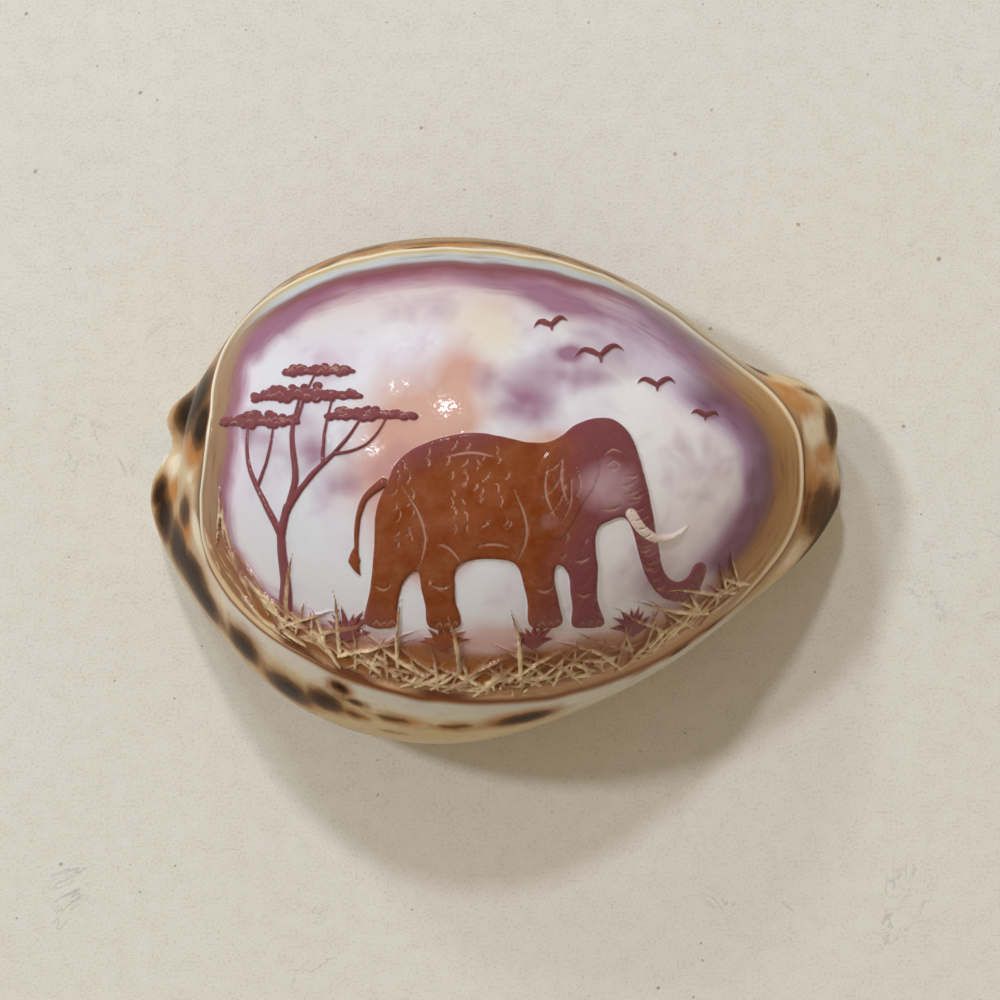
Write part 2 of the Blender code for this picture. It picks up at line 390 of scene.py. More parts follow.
@dataclass(frozen=True)
class ShellForm:
    """The shell's shape: rails from the hind end to the front end, and its wall."""

    crest: Rail = (
        (-40, 5.7, 9.4), (-38.9, 5.4, 13.4), (-37.8, 4.8, 20.8), (-34.6, 4, 30),
        (-27.2, 2.8, 39.2), (-15, 1.8, 45.5), (-1.2, 1.4, 47.1), (12.8, 1.8, 43.8),
        (25.2, 2.8, 35), (34, 3.8, 24), (39.2, 4.4, 15), (41.8, 4.6, 9.8),
    )
    outer_margin: Rail = (
        (-43, 0.4, 5.8), (-42.2, -4, 6.8), (-40, -9.2, 8.2), (-35.4, -15.8, 10),
        (-27.8, -23.8, 11.8), (-16.8, -29.4, 12.6), (-3, -30.5, 12.6), (11, -26.2, 12),
        (22.6, -20, 10.8), (32.6, -12.3, 9.4), (39.3, -6, 8), (42.4, 0, 6.4),
    )
    inner_margin: Rail = (
        (-40.8, 9.2, 6.4), (-38.9, 11.2, 8), (-36.4, 13.6, 10), (-33.2, 17.8, 12.4),
        (-27.6, 24, 14.4), (-17, 29.1, 15.2), (-3, 30.5, 15.2), (11, 27.4, 14.6),
        (22.6, 21.2, 13.2), (31.6, 14.9, 11.2), (38.3, 12.8, 9), (41.9, 8.2, 6.6),
    )
    outer_base: Rail = (
        (-42.6, 1.4, 3), (-41.6, -2.4, 2), (-39.2, -6.4, 1), (-34.4, -10.8, 0),
        (-27.2, -14.8, -0.5), (-16.2, -17.6, -0.5), (-2.4, -18, -0.5), (11.6, -15.6, -0.5),
        (23, -11.4, -0.4), (32.8, -7, 0.3), (39, -3.4, 1.6), (42, 1, 3),
    )
    inner_base: Rail = (
        (-40.6, 8.6, 3), (-39, 9.4, 2), (-36.4, 10.4, 1), (-33, 11.8, 0),
        (-27, 13.6, -0.5), (-16.5, 14.6, -0.5), (-2.5, 14.4, -0.5), (11.5, 13.4, -0.5),
        (22.8, 12, -0.4), (32, 10.6, 0.3), (38.2, 9.8, 1.6), (41.6, 8, 3),
    )
    outer_lip: Rail = (
        (-41.8, 3.7, 3.4), (-40.2, 2.6, 2.8), (-37.8, 1.2, 2.2), (-33.5, -1, 1.6),
        (-27, -3.8, 1.2), (-16, -6, 1), (-2, -6.4, 1), (12, -5.6, 1),
        (23.5, -3.6, 1.2), (33, -0.7, 1.8), (38.8, 1.4, 2.6), (41.9, 2.6, 3.4),
    )
    inner_lip: Rail = (
        (-40.6, 7.7, 3.4), (-39.2, 6.9, 2.8), (-37, 5.7, 2.2), (-33.2, 4, 1.6),
        (-27, 1.9, 1.2), (-16.5, 0.6, 1), (-2.5, 0.6, 1), (12, 1.7, 1),
        (23.2, 3.6, 1.2), (32.6, 5.3, 1.8), (38.4, 6.4, 2.6), (41.7, 6.6, 3.4),
    )
    core: Rail = (
        (-41, 5.7, 6), (-37.4, 5.2, 7.2), (-32.4, 4.4, 10.5), (-27, 3.2, 14.5),
        (-20, 1.8, 18), (-11, 0.9, 20.4), (-1, 0.6, 21), (10, 0.9, 19.6),
        (20, 2, 16.2), (28.5, 3.4, 11.8), (35, 4.3, 8), (41.4, 4.6, 6),
    )
    # Swellings and hollows pushed into the ends: centre, radius and push.
    swells: tuple[tuple[Place, float, Place], ...] = (
        ((-40.4, 9.4, 7), 3.6, (-0.2, 0.4, 0.6)),
        ((-42, -1, 7), 4.6, (-0.3, -0.2, 0.5)),
        ((-37.6, 7.8, 16), 3.4, (1.5, -0.6, -0.8)),
        ((-39.6, 5.8, 10.5), 2.6, (0.6, 0, -0.5)),
        ((41.2, 8.6, 7), 3.8, (0.2, 0.4, 0.5)),
        ((41.6, -0.8, 6.4), 4, (0.2, -0.3, 0.4)),
        ((41, 4.4, 11), 2.8, (-0.3, 0, -0.6)),
    )
    centre: Point = (-0.3685, -0.0894)  # of the drawn shell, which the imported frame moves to 0
    scale: float = 0.99648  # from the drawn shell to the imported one
    margin_at: float = 0.60  # where the widest line runs, from 0 at the crest to 1 at a lip
    base_at: float = 0.81  # where the flat base starts
    across: float = 84.0  # from the crest to a lip
    smoothing: float = 0.022  # how far across the joins between the arcs are blurred
    back_wall: float = 3.0
    back_wall_to: float = 0.25
    margin_wall: float = 4.0
    lip_wall: float = 4.2
    end_wall: float = 3.4
    end_wall_fade: Point = (2.0, 16.0)
    most_of_depth: float = 0.62  # of the way to the core, the most that the wall takes
    tooth_pitch: float = 2.7
    tooth_height: float = 0.8
    tooth_sharpness: float = 1.4
    tooth_from: float = 11.0
    tooth_to: float = 92.0
    tooth_fade: float = 4.0
    tooth_reach_out: Point = (6.4, 4.2)  # on the outer and the inner lip
    tooth_reach_in: float = 5.0
    tooth_full_to: float = 0.45  # of its reach
    just_inside: float = 0.99  # how far across a point near a lip's edge is
    pad_softness: float = 0.25

    def places(self) -> Array:
        """Gives each station's distance along the shell, the mean over the rails."""
        rails = (self.crest, self.outer_margin, self.inner_margin, self.outer_base, self.inner_base)
        steps = np.linalg.norm(np.diff(np.array(rails), axis=1), axis=2).mean(axis=0)
        return np.concatenate([[0.0], np.cumsum(steps)])

    def length(self) -> float:
        """Gives the length of the sheet along the shell."""
        return float(self.places()[-1])

    def from_end(self, place: Array) -> Array:
        """Gives the distance from the nearer end."""
        return np.minimum(place, self.length() - place)

    def rail(self, points: Rail) -> SmoothCurve:
        """Gives the smooth line through a rail's points."""
        return SmoothCurve.through(self.places(), np.asarray(points, float))

    def section(self, place: Array, across: Array) -> Array:
        """Gives points of the outer face from the rails alone.

        Args:
            place: the distance along the shell.
            across: from -1 at the outer lip's edge, over the crest at 0, to 1.

        Returns:
            One point to a row.
        """
        out = np.zeros((len(place), 3))
        sides = (
            (across < 0, self.outer_margin, self.outer_base, self.outer_lip),
            (across >= 0, self.inner_margin, self.inner_base, self.inner_lip),
        )
        for mine, *rails in sides:
            where, far = place[mine], np.abs(across[mine])
            top, wide, low, edge = (self.rail(rail).at(where).T for rail in (self.crest, *rails))
            sine, cosine = quarter_turn(0, self.margin_at, far)
            back = (
                top[0] + (wide[0] - top[0]) * sine**2,
                top[1] + (wide[1] - top[1]) * sine,
                wide[2] + (top[2] - wide[2]) * cosine,
            )
            sine, cosine = quarter_turn(self.margin_at, self.base_at, far)
            under = (
                wide[0] + (low[0] - wide[0]) * sine**2,
                low[1] + (wide[1] - low[1]) * cosine,
                wide[2] + (low[2] - wide[2]) * sine,
            )
            share = np.clip((far - self.base_at) / (1 - self.base_at), 0, 1)
            floor = low + (edge - low) * np.stack([share, share, share**2])
            lower = np.where(far <= self.base_at, under, floor)
            out[mine] = np.where(far <= self.margin_at, back, lower).T
        return out

    def outer_face(self, place: Array, across: Array) -> Array:
        """Gives points of the outer face, with the joins between its arcs smoothed.

        Args:
            place: the distance along the shell.
            across: from -1 to 1, lip to lip over the crest.

        Returns:
            One point to a row.
        """
        total = np.zeros((len(place), 3))
        for step, weight in ((-2, 1), (-1, 4), (0, 6), (1, 4), (2, 1)):
            near = np.clip(across + step * self.smoothing * (1 - across**2), -1, 1)
            total += weight / 16 * self.section(place, near)
        return total

    def wall(self, place: Array, across: Array) -> Array:
        """Gives the wall's thickness.

        Args:
            place: the distance along the shell.
            across: from -1 to 1, lip to lip over the crest.

        Returns:
            The thickness, thin over the back and thick at the lips.
        """
        far = np.abs(across)
        wall = self.back_wall
        wall = wall + (self.margin_wall - wall) * smoothstep(self.back_wall_to, self.margin_at, far)
        more = self.lip_wall - self.margin_wall
        wall += more * smoothstep(self.margin_at, self.base_at, far)
        fade = smoothstep(*self.end_wall_fade, self.from_end(place))
        return self.end_wall + (wall - self.end_wall) * fade

    @staticmethod
    def rolled(distance: Array, radius: float, whole: float) -> tuple[Array, Array, Array]:
        """Rolls the sheet's edge over.

        Args:
            distance: the distance from the edge.
            radius: the roll's radius.
            whole: the sheet's whole reach from that edge.

        Returns:
            The distance that is kept, and how full and how turned the roll is there.
        """
        turn = np.clip(distance / radius, 0, math.pi / 2)
        quarter = radius * math.pi / 2
        rest = np.clip(distance - quarter, 0, None) * (whole - radius) / (whole - quarter)
        return radius * (1 - np.cos(turn)) + rest, np.sin(turn), np.cos(turn)

    def teeth(self, place: Array, side: Array, distance: Array, inside: Array) -> Array:
        """Gives the height of the teeth.

        Args:
            place: the distance along the shell.
            side: -1 on the outer lip's half and 1 on the inner lip's.
            distance: the distance from the lip's edge.
            inside: whether the point is on the inner face.

        Returns:
            The height at each point.
        """
        turn = (place - self.tooth_from) / self.tooth_pitch * 2 * math.pi
        ridge = (0.5 + 0.5 * np.cos(turn)) ** self.tooth_sharpness
        fade = self.tooth_fade
        ends = smoothstep(self.tooth_from - fade, self.tooth_from + fade, place)
        ends *= 1 - smoothstep(self.tooth_to - fade, self.tooth_to + fade, place)
        reach = np.where(side < 0, *self.tooth_reach_out)
        reach = np.where(inside, self.tooth_reach_in, reach)
        full = 1 - smoothstep(self.tooth_full_to, 1.0, distance / reach)
        return self.tooth_height * ridge * ends * full

    def skin(self, flat: Array) -> Skin:
        """Wraps the flat sheet into the shell.

        Args:
            flat: the sheet's points, each from -1 to 1 along the shell and round it.

        Returns:
            The points of the shell before its back is ground.
        """
        whole = self.length()
        place = (flat[:, 0] + 1) / 2 * whole
        loop = flat[:, 1] * 2
        inside = np.abs(loop) > 1
        side = np.where(loop < 0, -1, 1)
        far = np.where(inside, 2 - np.abs(loop), np.abs(loop))

        from_lip = (1 - far) * self.across
        kept_lip, lip_full, lip_turn = self.rolled(from_lip, self.lip_wall / 2, self.across)
        kept_end, end_full, _ = self.rolled(self.from_end(place), self.end_wall / 2, whole / 2)
        kept_place = np.where(place < whole / 2, kept_end, whole - kept_end)
        kept_across = side * (1 - kept_lip / self.across)

        skin = self.outer_face(kept_place, kept_across)
        to_core = self.rail(self.core).at(kept_place) - skin
        depth = np.linalg.norm(to_core, axis=1)
        inward = to_core / depth[:, None]
        wall = np.minimum(self.wall(kept_place, kept_across), self.most_of_depth * depth)
        full = lip_full * end_full
        sunk = wall / 2 * np.where(inside, 1 + full, 1 - full)
        points = skin + inward * sunk[:, None]

        lipward = unit(skin - self.outer_face(kept_place, kept_across * self.just_inside))
        facing = inward * np.where(inside, full, -full)[:, None] + lipward * lip_turn[:, None]
        points += unit(facing) * self.teeth(place, side, from_lip, inside)[:, None]
        return Skin(points, inward, inside, far, place)

    def plan(self, points: Array) -> Array:
        """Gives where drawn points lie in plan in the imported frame."""
        return (points[:, :2] - np.array(self.centre)) * self.scale

    def finished(self, skin: Skin, points: Array) -> Array:
        """Adds the lobes of the ends and presses the shell's pads flat.

        Args:
            skin: what is known of each point.
            points: the points, ground and carved.

        Returns:
            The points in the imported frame, in metres.
        """
        points = points.copy()
        for centre, radius, push in self.swells:
            near = np.linalg.norm(points - np.array(centre), axis=1) / radius
            points += np.exp(-(near**2))[:, None] * np.array(push)
        soft = self.pad_softness
        height = points[:, 2]
        pressed = np.where(height < -soft, 0.0, (height + soft) ** 2 / (4 * soft))
        pressed = np.where(height > soft, height, pressed)
        points[:, 2] = np.where(skin.inside, height, pressed)
        points -= (self.centre[0], self.centre[1], 0.0)
        return points * self.scale * MM


@dataclass(frozen=True)
class Window:
    """The ground window on the back: its edge in plan, and its ledge and slope."""

    edge: Line = (
        (-34.9, -3.4), (-34.3, 1.6), (-33.7, 7.2), (-33.3, 12.8), (-32, 18.2),
        (-29, 21.6), (-24.4, 24.4), (-18.6, 26.6), (-11.6, 28), (-4.4, 28.3),
        (3, 27.6), (10, 26.1), (16.6, 23.3), (23, 19), (29, 14.7),
        (33.4, 11), (35.8, 6.6), (36.4, 1.6), (35.8, -3.4), (33.3, -8.3),
        (28.6, -13.3), (22.8, -17.8), (16.4, -21.1), (9, -23.4), (1.2, -24.4),
        (-6.2, -24.2), (-13, -22.8), (-20, -20.3), (-26.2, -16.9), (-31, -12.8),
        (-33.9, -8.3),
    )
    ledge_depth: float = 0.5
    ledge_width: float = 0.36
    slope_depth: float = 0.70
    slope_width: float = 4.5
    wobble: float = 0.16
    wobble_grain: float = 3.1
    middle: Point = WINDOW_MIDDLE
    seed: int = 41

    def ring(self) -> Array:
        """Gives the window's edge as a closed line of short steps."""
        return closed_line(self.edge, steps=240)

    def depth_inside(self, drawn: Array) -> Array:
        """Tells how far inside the hand-cut edge drawn points lie, negative outside it."""
        wobble = self.wobble * patchy(drawn, self.wobble_grain, self.seed)
        return depth_in(drawn, self.ring())[0] + wobble

    def ground(self, edge: Array) -> Array:
        """Gives how deep the back is ground away, by the distance inside the window's edge."""
        ledge = self.ledge_depth * smoothstep(0, self.ledge_width, edge)
        return ledge + self.slope_depth * smoothstep(0, self.slope_width, edge)


def about(middle: Point, offsets: Line) -> Line:
    """Places points that are drawn about a middle."""
    return tuple((middle[0] + x, middle[1] + y) for x, y in offsets)


@dataclass(frozen=True)
class Elephant:
    """A walking elephant in low relief, drawn about its own middle."""

    scale: float = 0.86
    to: Point = (-0.6, -1.0)
    body: Line = (
        (-13.6, 1.8), (-12.4, 4.6), (-9.8, 6.9), (-6.2, 8.3), (-2, 8.9), (2.2, 8.3),
        (5.8, 7.6), (8.6, 8.1), (11, 9.9), (13.6, 11), (16.2, 10.9), (18.2, 9.3),
        (19.5, 6.6), (20.5, 3.2), (21.4, -0.6), (22.1, -4.6), (22.8, -8.2), (23.9, -11),
        (25.6, -11.9), (27, -10.9), (27.9, -9.3), (29.1, -9.3), (29.4, -10.9), (28.4, -13.2),
        (26, -14.6), (23.3, -13.9), (21.2, -11.4), (19.8, -7.8), (18.9, -4.4), (17.7, -2.6),
        (15.9, -3), (14.4, -3.9), (13.9, -6.2), (14.3, -9.6), (14.2, -13), (14.9, -15.8),
        (15.3, -17.5), (13.2, -17.9), (11, -17.6), (10.9, -15.4), (10.6, -12.4), (9.9, -9.6),
        (9, -9), (8.5, -10.4), (8.9, -13), (9.4, -15.4), (9.6, -17.2), (7.6, -17.8),
        (5.3, -17.4), (5, -14.8), (4.4, -11.6), (3.4, -8.9), (0.4, -8.2), (-2.6, -8.4),
        (-4.3, -9.4), (-4.6, -12), (-4.3, -14.8), (-3.9, -17.3), (-6, -17.9), (-8.2, -17.4),
        (-8.5, -14.8), (-9.1, -12), (-9.6, -9.8), (-10.6, -10.4), (-11.8, -12.6),
        (-12.2, -15), (-12.3, -17.2), (-14.4, -17.8), (-16.6, -17.2), (-16.3, -14.4),
        (-15.7, -11.2), (-15.3, -7.4), (-15.1, -3.4), (-14.6, -0.4),
    )
    tail: Line = ((-13.9, 2.2), (-16.2, 0.2), (-17.4, -3.4), (-17.6, -7.0))
    tail_widths: Widths = (1.1, 0.8, 0.65, 0.55)
    tuft: Line = ((-17.6, -6.6), (-17.9, -8.4), (-17.2, -10.4))
    tuft_widths: Widths = (0.5, 1.5, 0.2)
    tusk: Line = ((18.6, -2.0), (20.6, -4.6), (23.6, -5.6), (26.6, -4.0))
    tusk_widths: Widths = (1.25, 1.15, 0.85, 0.2)
    ear: Line = (
        (10.6, 8.2), (7.9, 6.6), (6, 3.4), (5.6, -0.4), (6.9, -3.6), (8.8, -5.4),
        (10.6, -3.6), (12.2, -0.6), (13.9, 2.2), (14.2, 5.4), (12.8, 7.8),
    )
    lines: tuple[Line, ...] = (
        ((7.6, 4.4), (7.2, 1.2), (8.6, -2.4)), ((9.6, 5.6), (9.3, 2.6), (10.2, -0.6)),
        ((19.6, 3.4), (18.6, 2.9), (17.8, 3.2)), ((20.3, 0.8), (19.2, 0.1), (18.3, 0.4)),
        ((21.3, -6.6), (20.4, -7.2), (19.9, -6.9)), ((21.9, -9.4), (21, -9.7), (20.5, -9.3)),
        ((23.6, -12.2), (22.9, -12.6), (22.3, -12.2)), ((15, 5.9), (16, 6.7), (17.2, 6.3)),
        ((14.6, -1.2), (16, -1.5), (17.2, -0.9)), ((13.2, -7.6), (12.2, -8.4), (11, -8.2)),
        ((13.4, -12.6), (12.4, -13.2), (11.4, -12.8)), ((8.2, -12), (7, -12.5), (6, -12)),
        ((-5, -11.4), (-6.4, -12), (-7.8, -11.5)), ((-13, -11.6), (-14.2, -12.2), (-15.2, -11.6)),
        ((3.6, -8.2), (4.8, -5.2), (4.4, -1.8), (3.2, 1.2)),
        ((-9.4, -9.4), (-8.4, -5.6), (-9.4, -1.6), (-11.4, 1.6)),
        ((-3.8, -8.6), (-5.6, -6.4), (-7, -6)), ((0.6, 5.6), (-2.4, 6.2), (-5.4, 5.6)),
        ((-1.6, -6.4), (0.6, -6), (2.6, -6.4)),
    )
    nails: Line = (
        (14.6, -17), (13.5, -17.1), (12.4, -17.1), (9, -16.7), (8, -16.9), (6.9, -16.9),
        (-4.6, -16.8), (-5.6, -17), (-6.7, -17), (-13, -16.7), (-14, -16.9),
        (-15.1, -16.8),
    )
    nail: Line = ((-0.4, -0.2), (0.0, 0.35), (0.4, -0.2))
    nail_widths: Widths = (0.2, 0.3, 0.2)
    eye: Point = (16.2, 4.6)
    lids: tuple[tuple[Line, Widths], ...] = (
        (((-0.9, -0.1), (0, 0.5), (0.9, -0.2)), (0.15, 0.4, 0.15)),
        (((-0.7, -0.3), (0, -0.6), (0.7, -0.4)), (0.12, 0.28, 0.12)),
    )
    line_widths: Widths = (0.12, 0.40, 0.40, 0.12)
    fine_widths: Widths = (0.1, 0.26, 0.1)
    trunk: Line = (
        (17.9, 3), (19.4, -0.8), (20.4, -4.6), (21.4, -8.4), (22.7, -11.6), (24.8, -13.2),
        (27, -12.5), (28.5, -10.6),
    )
    trunk_rings: int = 18
    trunk_half: Point = (1.15, 0.62)  # of a ring, at the trunk's root and tip
    ring_span: Point = (0.04, 0.97)  # the shares of the trunk where the rings start and end
    ring_bow: float = 0.28
    ear_root: Point = (11.2, 6.8)
    ear_folds: Line = ((6.6, 3.2), (6.4, -0.4), (7.4, -3.0), (9.2, -3.8), (11.4, -0.4))
    fold_shares: Place = (0.34, 0.68, 0.93)  # of the way from the ear's root
    fold_bow: float = 0.07
    wrinkles: tuple[tuple[Point, Point], ...] = (
        ((-12.6, -6), (-9.6, 4.4)), ((-4.8, -4.6), (3.2, 3.2)), ((9.4, -8), (13.2, -4.8)),
        ((-7.8, 4.2), (2.4, 6.8)),
    )  # opposite corners of the places where the skin is wrinkled
    wrinkle_step: float = 2.1
    wrinkle_rows: float = 0.8  # how much closer together the rows are
    wrinkle_scatter: float = 0.7
    wrinkle_turn: Point = (0.9, 1.9)  # radians
    wrinkle_length: Point = (0.8, 1.7)
    wrinkle_bow: float = 0.16
    seed: int = 31

    def placed(self, points: Sequence[Point]) -> Line:
        """Brings drawn points to the elephant's size and place."""
        return tuple((x * self.scale + self.to[0], y * self.scale + self.to[1]) for x, y in points)

    def shapes(self) -> list[Shape]:
        """Gives the raised shapes."""
        return [
            Outline(self.placed(self.body), steps=340),
            Stroke(self.placed(self.tail), self.tail_widths),
            Stroke(self.placed(self.tuft), self.tuft_widths),
        ]

    def ear_and_tusk(self) -> tuple[Shape, Shape]:
        """Gives the ear and the tusk, which stand a little higher."""
        ear = Outline(self.placed(self.ear), steps=90)
        return ear, Stroke(self.placed(self.tusk), self.tusk_widths)

    def incised(self) -> list[Stroke]:
        """Gives the lines that are cut into the elephant.

        Returns:
            The cuts.
        """
        cuts = [Stroke(self.placed(line), self.line_widths, steps=8) for line in self.lines]
        for toe in self.nails:
            cuts.append(Stroke(self.placed(about(toe, self.nail)), self.nail_widths, steps=5))
        for lid, widths in self.lids:
            cuts.append(Stroke(self.placed(about(self.eye, lid)), widths, steps=6))
        for line in self.rings() + self.folds() + self.skin_lines():
            cuts.append(Stroke(self.placed(line), self.fine_widths, steps=5))
        return cuts

    def rings(self) -> list[Line]:
        """Gives the rings across the trunk.

        Returns:
            The rings as drawn lines.
        """
        middle = SmoothCurve.along(self.trunk)
        rings = []
        for share in np.linspace(*self.ring_span, self.trunk_rings):
            here, ahead = middle.at(np.array([share, share + 0.01]) * middle.knots[-1])
            way = unit(ahead - here)
            side = np.array([way[1], -way[0]]) * np.interp(share, (0, 1), self.trunk_half)
            rings.append((tuple(here - side), tuple(here + way * self.ring_bow), tuple(here + side)))
        return rings

    def folds(self) -> list[Line]:
        """Gives the folds that fan out over the ear.

        Returns:
            The folds as drawn lines.
        """
        root = np.array(self.ear_root)
        folds = []
        for end in self.ear_folds:
            run = np.array(end) - root
            bow = np.array([-run[1], run[0]]) * self.fold_bow
            start, middle, tip = (root + run * share for share in self.fold_shares)
            folds.append((tuple(start), tuple(middle + bow), tuple(tip)))
        return folds

    def skin_lines(self) -> list[Line]:
        """Gives short wrinkles in the skin, laid by rule.

        Returns:
            The wrinkles as drawn lines.
        """
        rng = np.random.default_rng(self.seed)
        step, scatter = self.wrinkle_step, self.wrinkle_scatter
        lines = []
        for (left, low), (right, high) in self.wrinkles:
            for x in np.arange(left, right, step):
                for y in np.arange(low, high, step * self.wrinkle_rows):
                    start = np.array([x, y]) + rng.uniform(-scatter, scatter, 2)
                    turn = rng.uniform(*self.wrinkle_turn)
                    way = np.array([math.cos(turn), math.sin(turn)])
                    run = way * rng.uniform(*self.wrinkle_length)
                    bow = np.array([run[1], -run[0]]) * self.wrinkle_bow
                    lines.append((tuple(start), tuple(start + run / 2 + bow), tuple(start + run)))
        return lines


@dataclass(frozen=True)
class Acacia:
    """A flat-topped thorn tree: its limbs, and each crown's middle, half width and height."""

    limbs: tuple[tuple[Line, Widths], ...] = (
        (((-24.6, -15.4), (-24.2, -10.6), (-24.6, -6.2), (-23.8, -2)), (2, 1.3, 1.1, 1)),
        (((-24.6, -5.4), (-26.6, -1.4), (-28.4, 2.8), (-28.6, 8.4)), (0.9, 0.75, 0.55, 0.3)),
        (((-23.8, -2.4), (-22.8, 1.8), (-23.2, 5.8), (-22.2, 11.6)), (0.95, 0.8, 0.6, 0.3)),
        (((-23.7, -2.2), (-21, 1.6), (-18, 4.6), (-14.8, 9)), (0.85, 0.7, 0.5, 0.3)),
        (((-27.4, 0.4), (-26.2, 3.6), (-25.4, 8.6)), (0.5, 0.4, 0.25)),
        (((-19.6, 3), (-19.4, 6.4), (-18.4, 11.4)), (0.5, 0.4, 0.25)),
        (((-18.4, 4.2), (-14.8, 5.2), (-12, 9)), (0.45, 0.35, 0.25)),
        (((-22.7, 8), (-21.8, 11), (-20.4, 14.2)), (0.5, 0.4, 0.25)),
    )
    crowns: tuple[tuple[Point, float, float], ...] = (
        ((-27.2, 8), 4.6, 1.25),
        ((-21.6, 11), 6.4, 1.45),
        ((-14.2, 8.6), 5, 1.2),
        ((-20.2, 14), 4, 0.9),
    )
    leaf_size: Point = (0.34, 0.62)
    leaf_rise: Point = (-0.35, 1.0)  # of the crown's height
    leaves_per_mm: float = 5.5
    heart_span: float = 0.85  # the share of the crown that the thick row in its middle fills
    heart_leaves_per_mm: float = 3.0
    heart_leaf: Point = (0.45, 0.25)  # half size at the crown's ends, and more per mm of dome
    heart_spread: Point = (0.9, 1.1)
    heart_rise: float = 0.2  # of the dome
    leaf_lines: int = 14
    line_rise: Point = (-0.2, 0.8)
    line_half: Point = (0.22, 0.42)
    line_widths: Widths = (0.12, 0.24, 0.1)
    seed: int = 5

    def shapes(self) -> list[Shape]:
        """Gives the raised shapes.

        Returns:
            The limbs and the leaves of each crown.
        """
        shapes: list[Shape] = [Stroke(line, widths) for line, widths in self.limbs]
        rng = np.random.default_rng(self.seed)
        least, more = self.heart_leaf
        for (x, y), wide, high in self.crowns:
            leaves = []
            for _ in range(int(2 * wide * self.leaves_per_mm)):
                across = rng.uniform(-1, 1)
                up = rng.uniform(*self.leaf_rise) * math.sqrt(1 - across**2) * high
                leaves.append(((x + across * wide, y + up), rng.uniform(*self.leaf_size)))
            row = int(wide * self.heart_leaves_per_mm)
            for across in np.linspace(-self.heart_span, self.heart_span, row):
                dome = high * (1 - across**2)
                size = least + more * dome
                size *= rng.uniform(*self.heart_spread)
                leaves.append(((x + across * wide, y + self.heart_rise * dome), size))
            shapes.append(Leaves(tuple(leaves)))
        return shapes

    def incised(self) -> list[Stroke]:
        """Gives the short curved cuts that part the leaves.

        Returns:
            The cuts.
        """
        rng = np.random.default_rng(self.seed + 1)
        cuts = []
        for (x, y), wide, high in self.crowns:
            for _ in range(self.leaf_lines):
                across = rng.uniform(-self.heart_span, self.heart_span)
                up = rng.uniform(*self.line_rise) * math.sqrt(1 - across**2)
                half = rng.uniform(*self.line_half)
                arc = about(
                    (x + across * wide, y + up * high), ((-half, 0.0), (0.0, half * 0.8), (half, -0.05))
                )
                cuts.append(Stroke(arc, self.line_widths, steps=4))
        return cuts


@dataclass(frozen=True)
class Shrubs:
    """Low tufts of pointed leaves in low relief: root, reach and how many leaves."""

    tufts: tuple[tuple[Point, float, int], ...] = (
        ((-16.9, -17.6), 4.2, 8),
        ((-6, -18.8), 3.6, 8),
        ((4.4, -18.6), 3.2, 7),
        ((16, -17.4), 3.8, 8),
    )
    spread: float = 1.25  # radians to either side of upright
    lean_scatter: float = 0.1
    length: Point = (0.75, 1.1)  # of the reach
    droop: float = 0.12  # how much shorter the leaning leaves are
    bend: float = 0.8  # the share of its lean that a leaf has at its middle
    middle_at: float = 0.55  # of its length
    widths: Widths = (0.7, 0.85, 0.55, 0.06)
    seed: int = 17

    def shapes(self) -> list[Shape]:
        """Gives the raised shapes.

        Returns:
            The leaves.
        """
        rng = np.random.default_rng(self.seed)
        shapes: list[Shape] = []
        for root, reach, leaves in self.tufts:
            for lean in np.linspace(-self.spread, self.spread, leaves):
                lean = lean + rng.uniform(-self.lean_scatter, self.lean_scatter)
                long = reach * rng.uniform(*self.length) * (1 - self.droop * abs(lean))
                bent, half = lean * self.bend, long * self.middle_at
                middle = (half * math.sin(bent), half * math.cos(bent))
                tip = (long * math.sin(lean), long * math.cos(lean))
                leaf = about(root, ((0.0, 0.0), middle, tip))
                shapes.append(Stroke(leaf, self.widths, steps=8))
        return shapes


@dataclass(frozen=True)
class Birds:
    """A few soaring birds in low relief: middle, half span and tilt of each."""

    flock: tuple[tuple[Point, float, float], ...] = (
        ((12, 16), 2.9, 0.18),
        ((18.6, 12.6), 2.3, 0.05),
        ((6.4, 19.6), 2, 0.25),
        ((24.4, 9), 1.7, -0.05),
    )
    wing: Line = ((0.0, 0.0), (0.32, 0.24), (0.62, 0.34), (1.0, 0.1))
    wing_widths: Widths = (0.55, 0.75, 0.5, 0.1)
    tail_widths: Widths = (0.6, 0.25)

    def shapes(self) -> list[Shape]:
        """Gives the raised shapes.

        Returns:
            The wings and the tails.
        """
        shapes: list[Shape] = []
        for middle, span, tilt in self.flock:
            cosine, sine = math.cos(tilt), math.sin(tilt)
            for way in (-1, 1):
                wing = tuple(
                    (span * (a * way * cosine - b * sine), span * (a * way * sine + b * cosine))
                    for a, b in self.wing
                )
                shapes.append(Stroke(about(middle, wing), self.wing_widths))
            tail = about(middle, ((0.0, 0.1), (0.1 * span * sine, -0.26 * span)))
            shapes.append(Stroke(tail, self.tail_widths, steps=3))
        return shapes


@dataclass(frozen=True)
class Blade:
    """One blade of the carved grass."""

    stroke: Stroke
    height: float


@dataclass(frozen=True)
class Habit:
    """How one sort of blade grows."""

    spacing: float
    lean: Point  # degrees from upright, least and most, to either side
    length: Point
    width: float
    start: Point  # how far inside the window's edge it starts, least and most
    part: Point  # the share of the bed that it grows on
    inward: float = 0.4  # how much upright means away from the edge, not up in the picture
    one_way: int = 0  # 1 or -1 where all blades lean the same way
    tip: float = 0.1
    root: float = 1.0  # the root's share of the width


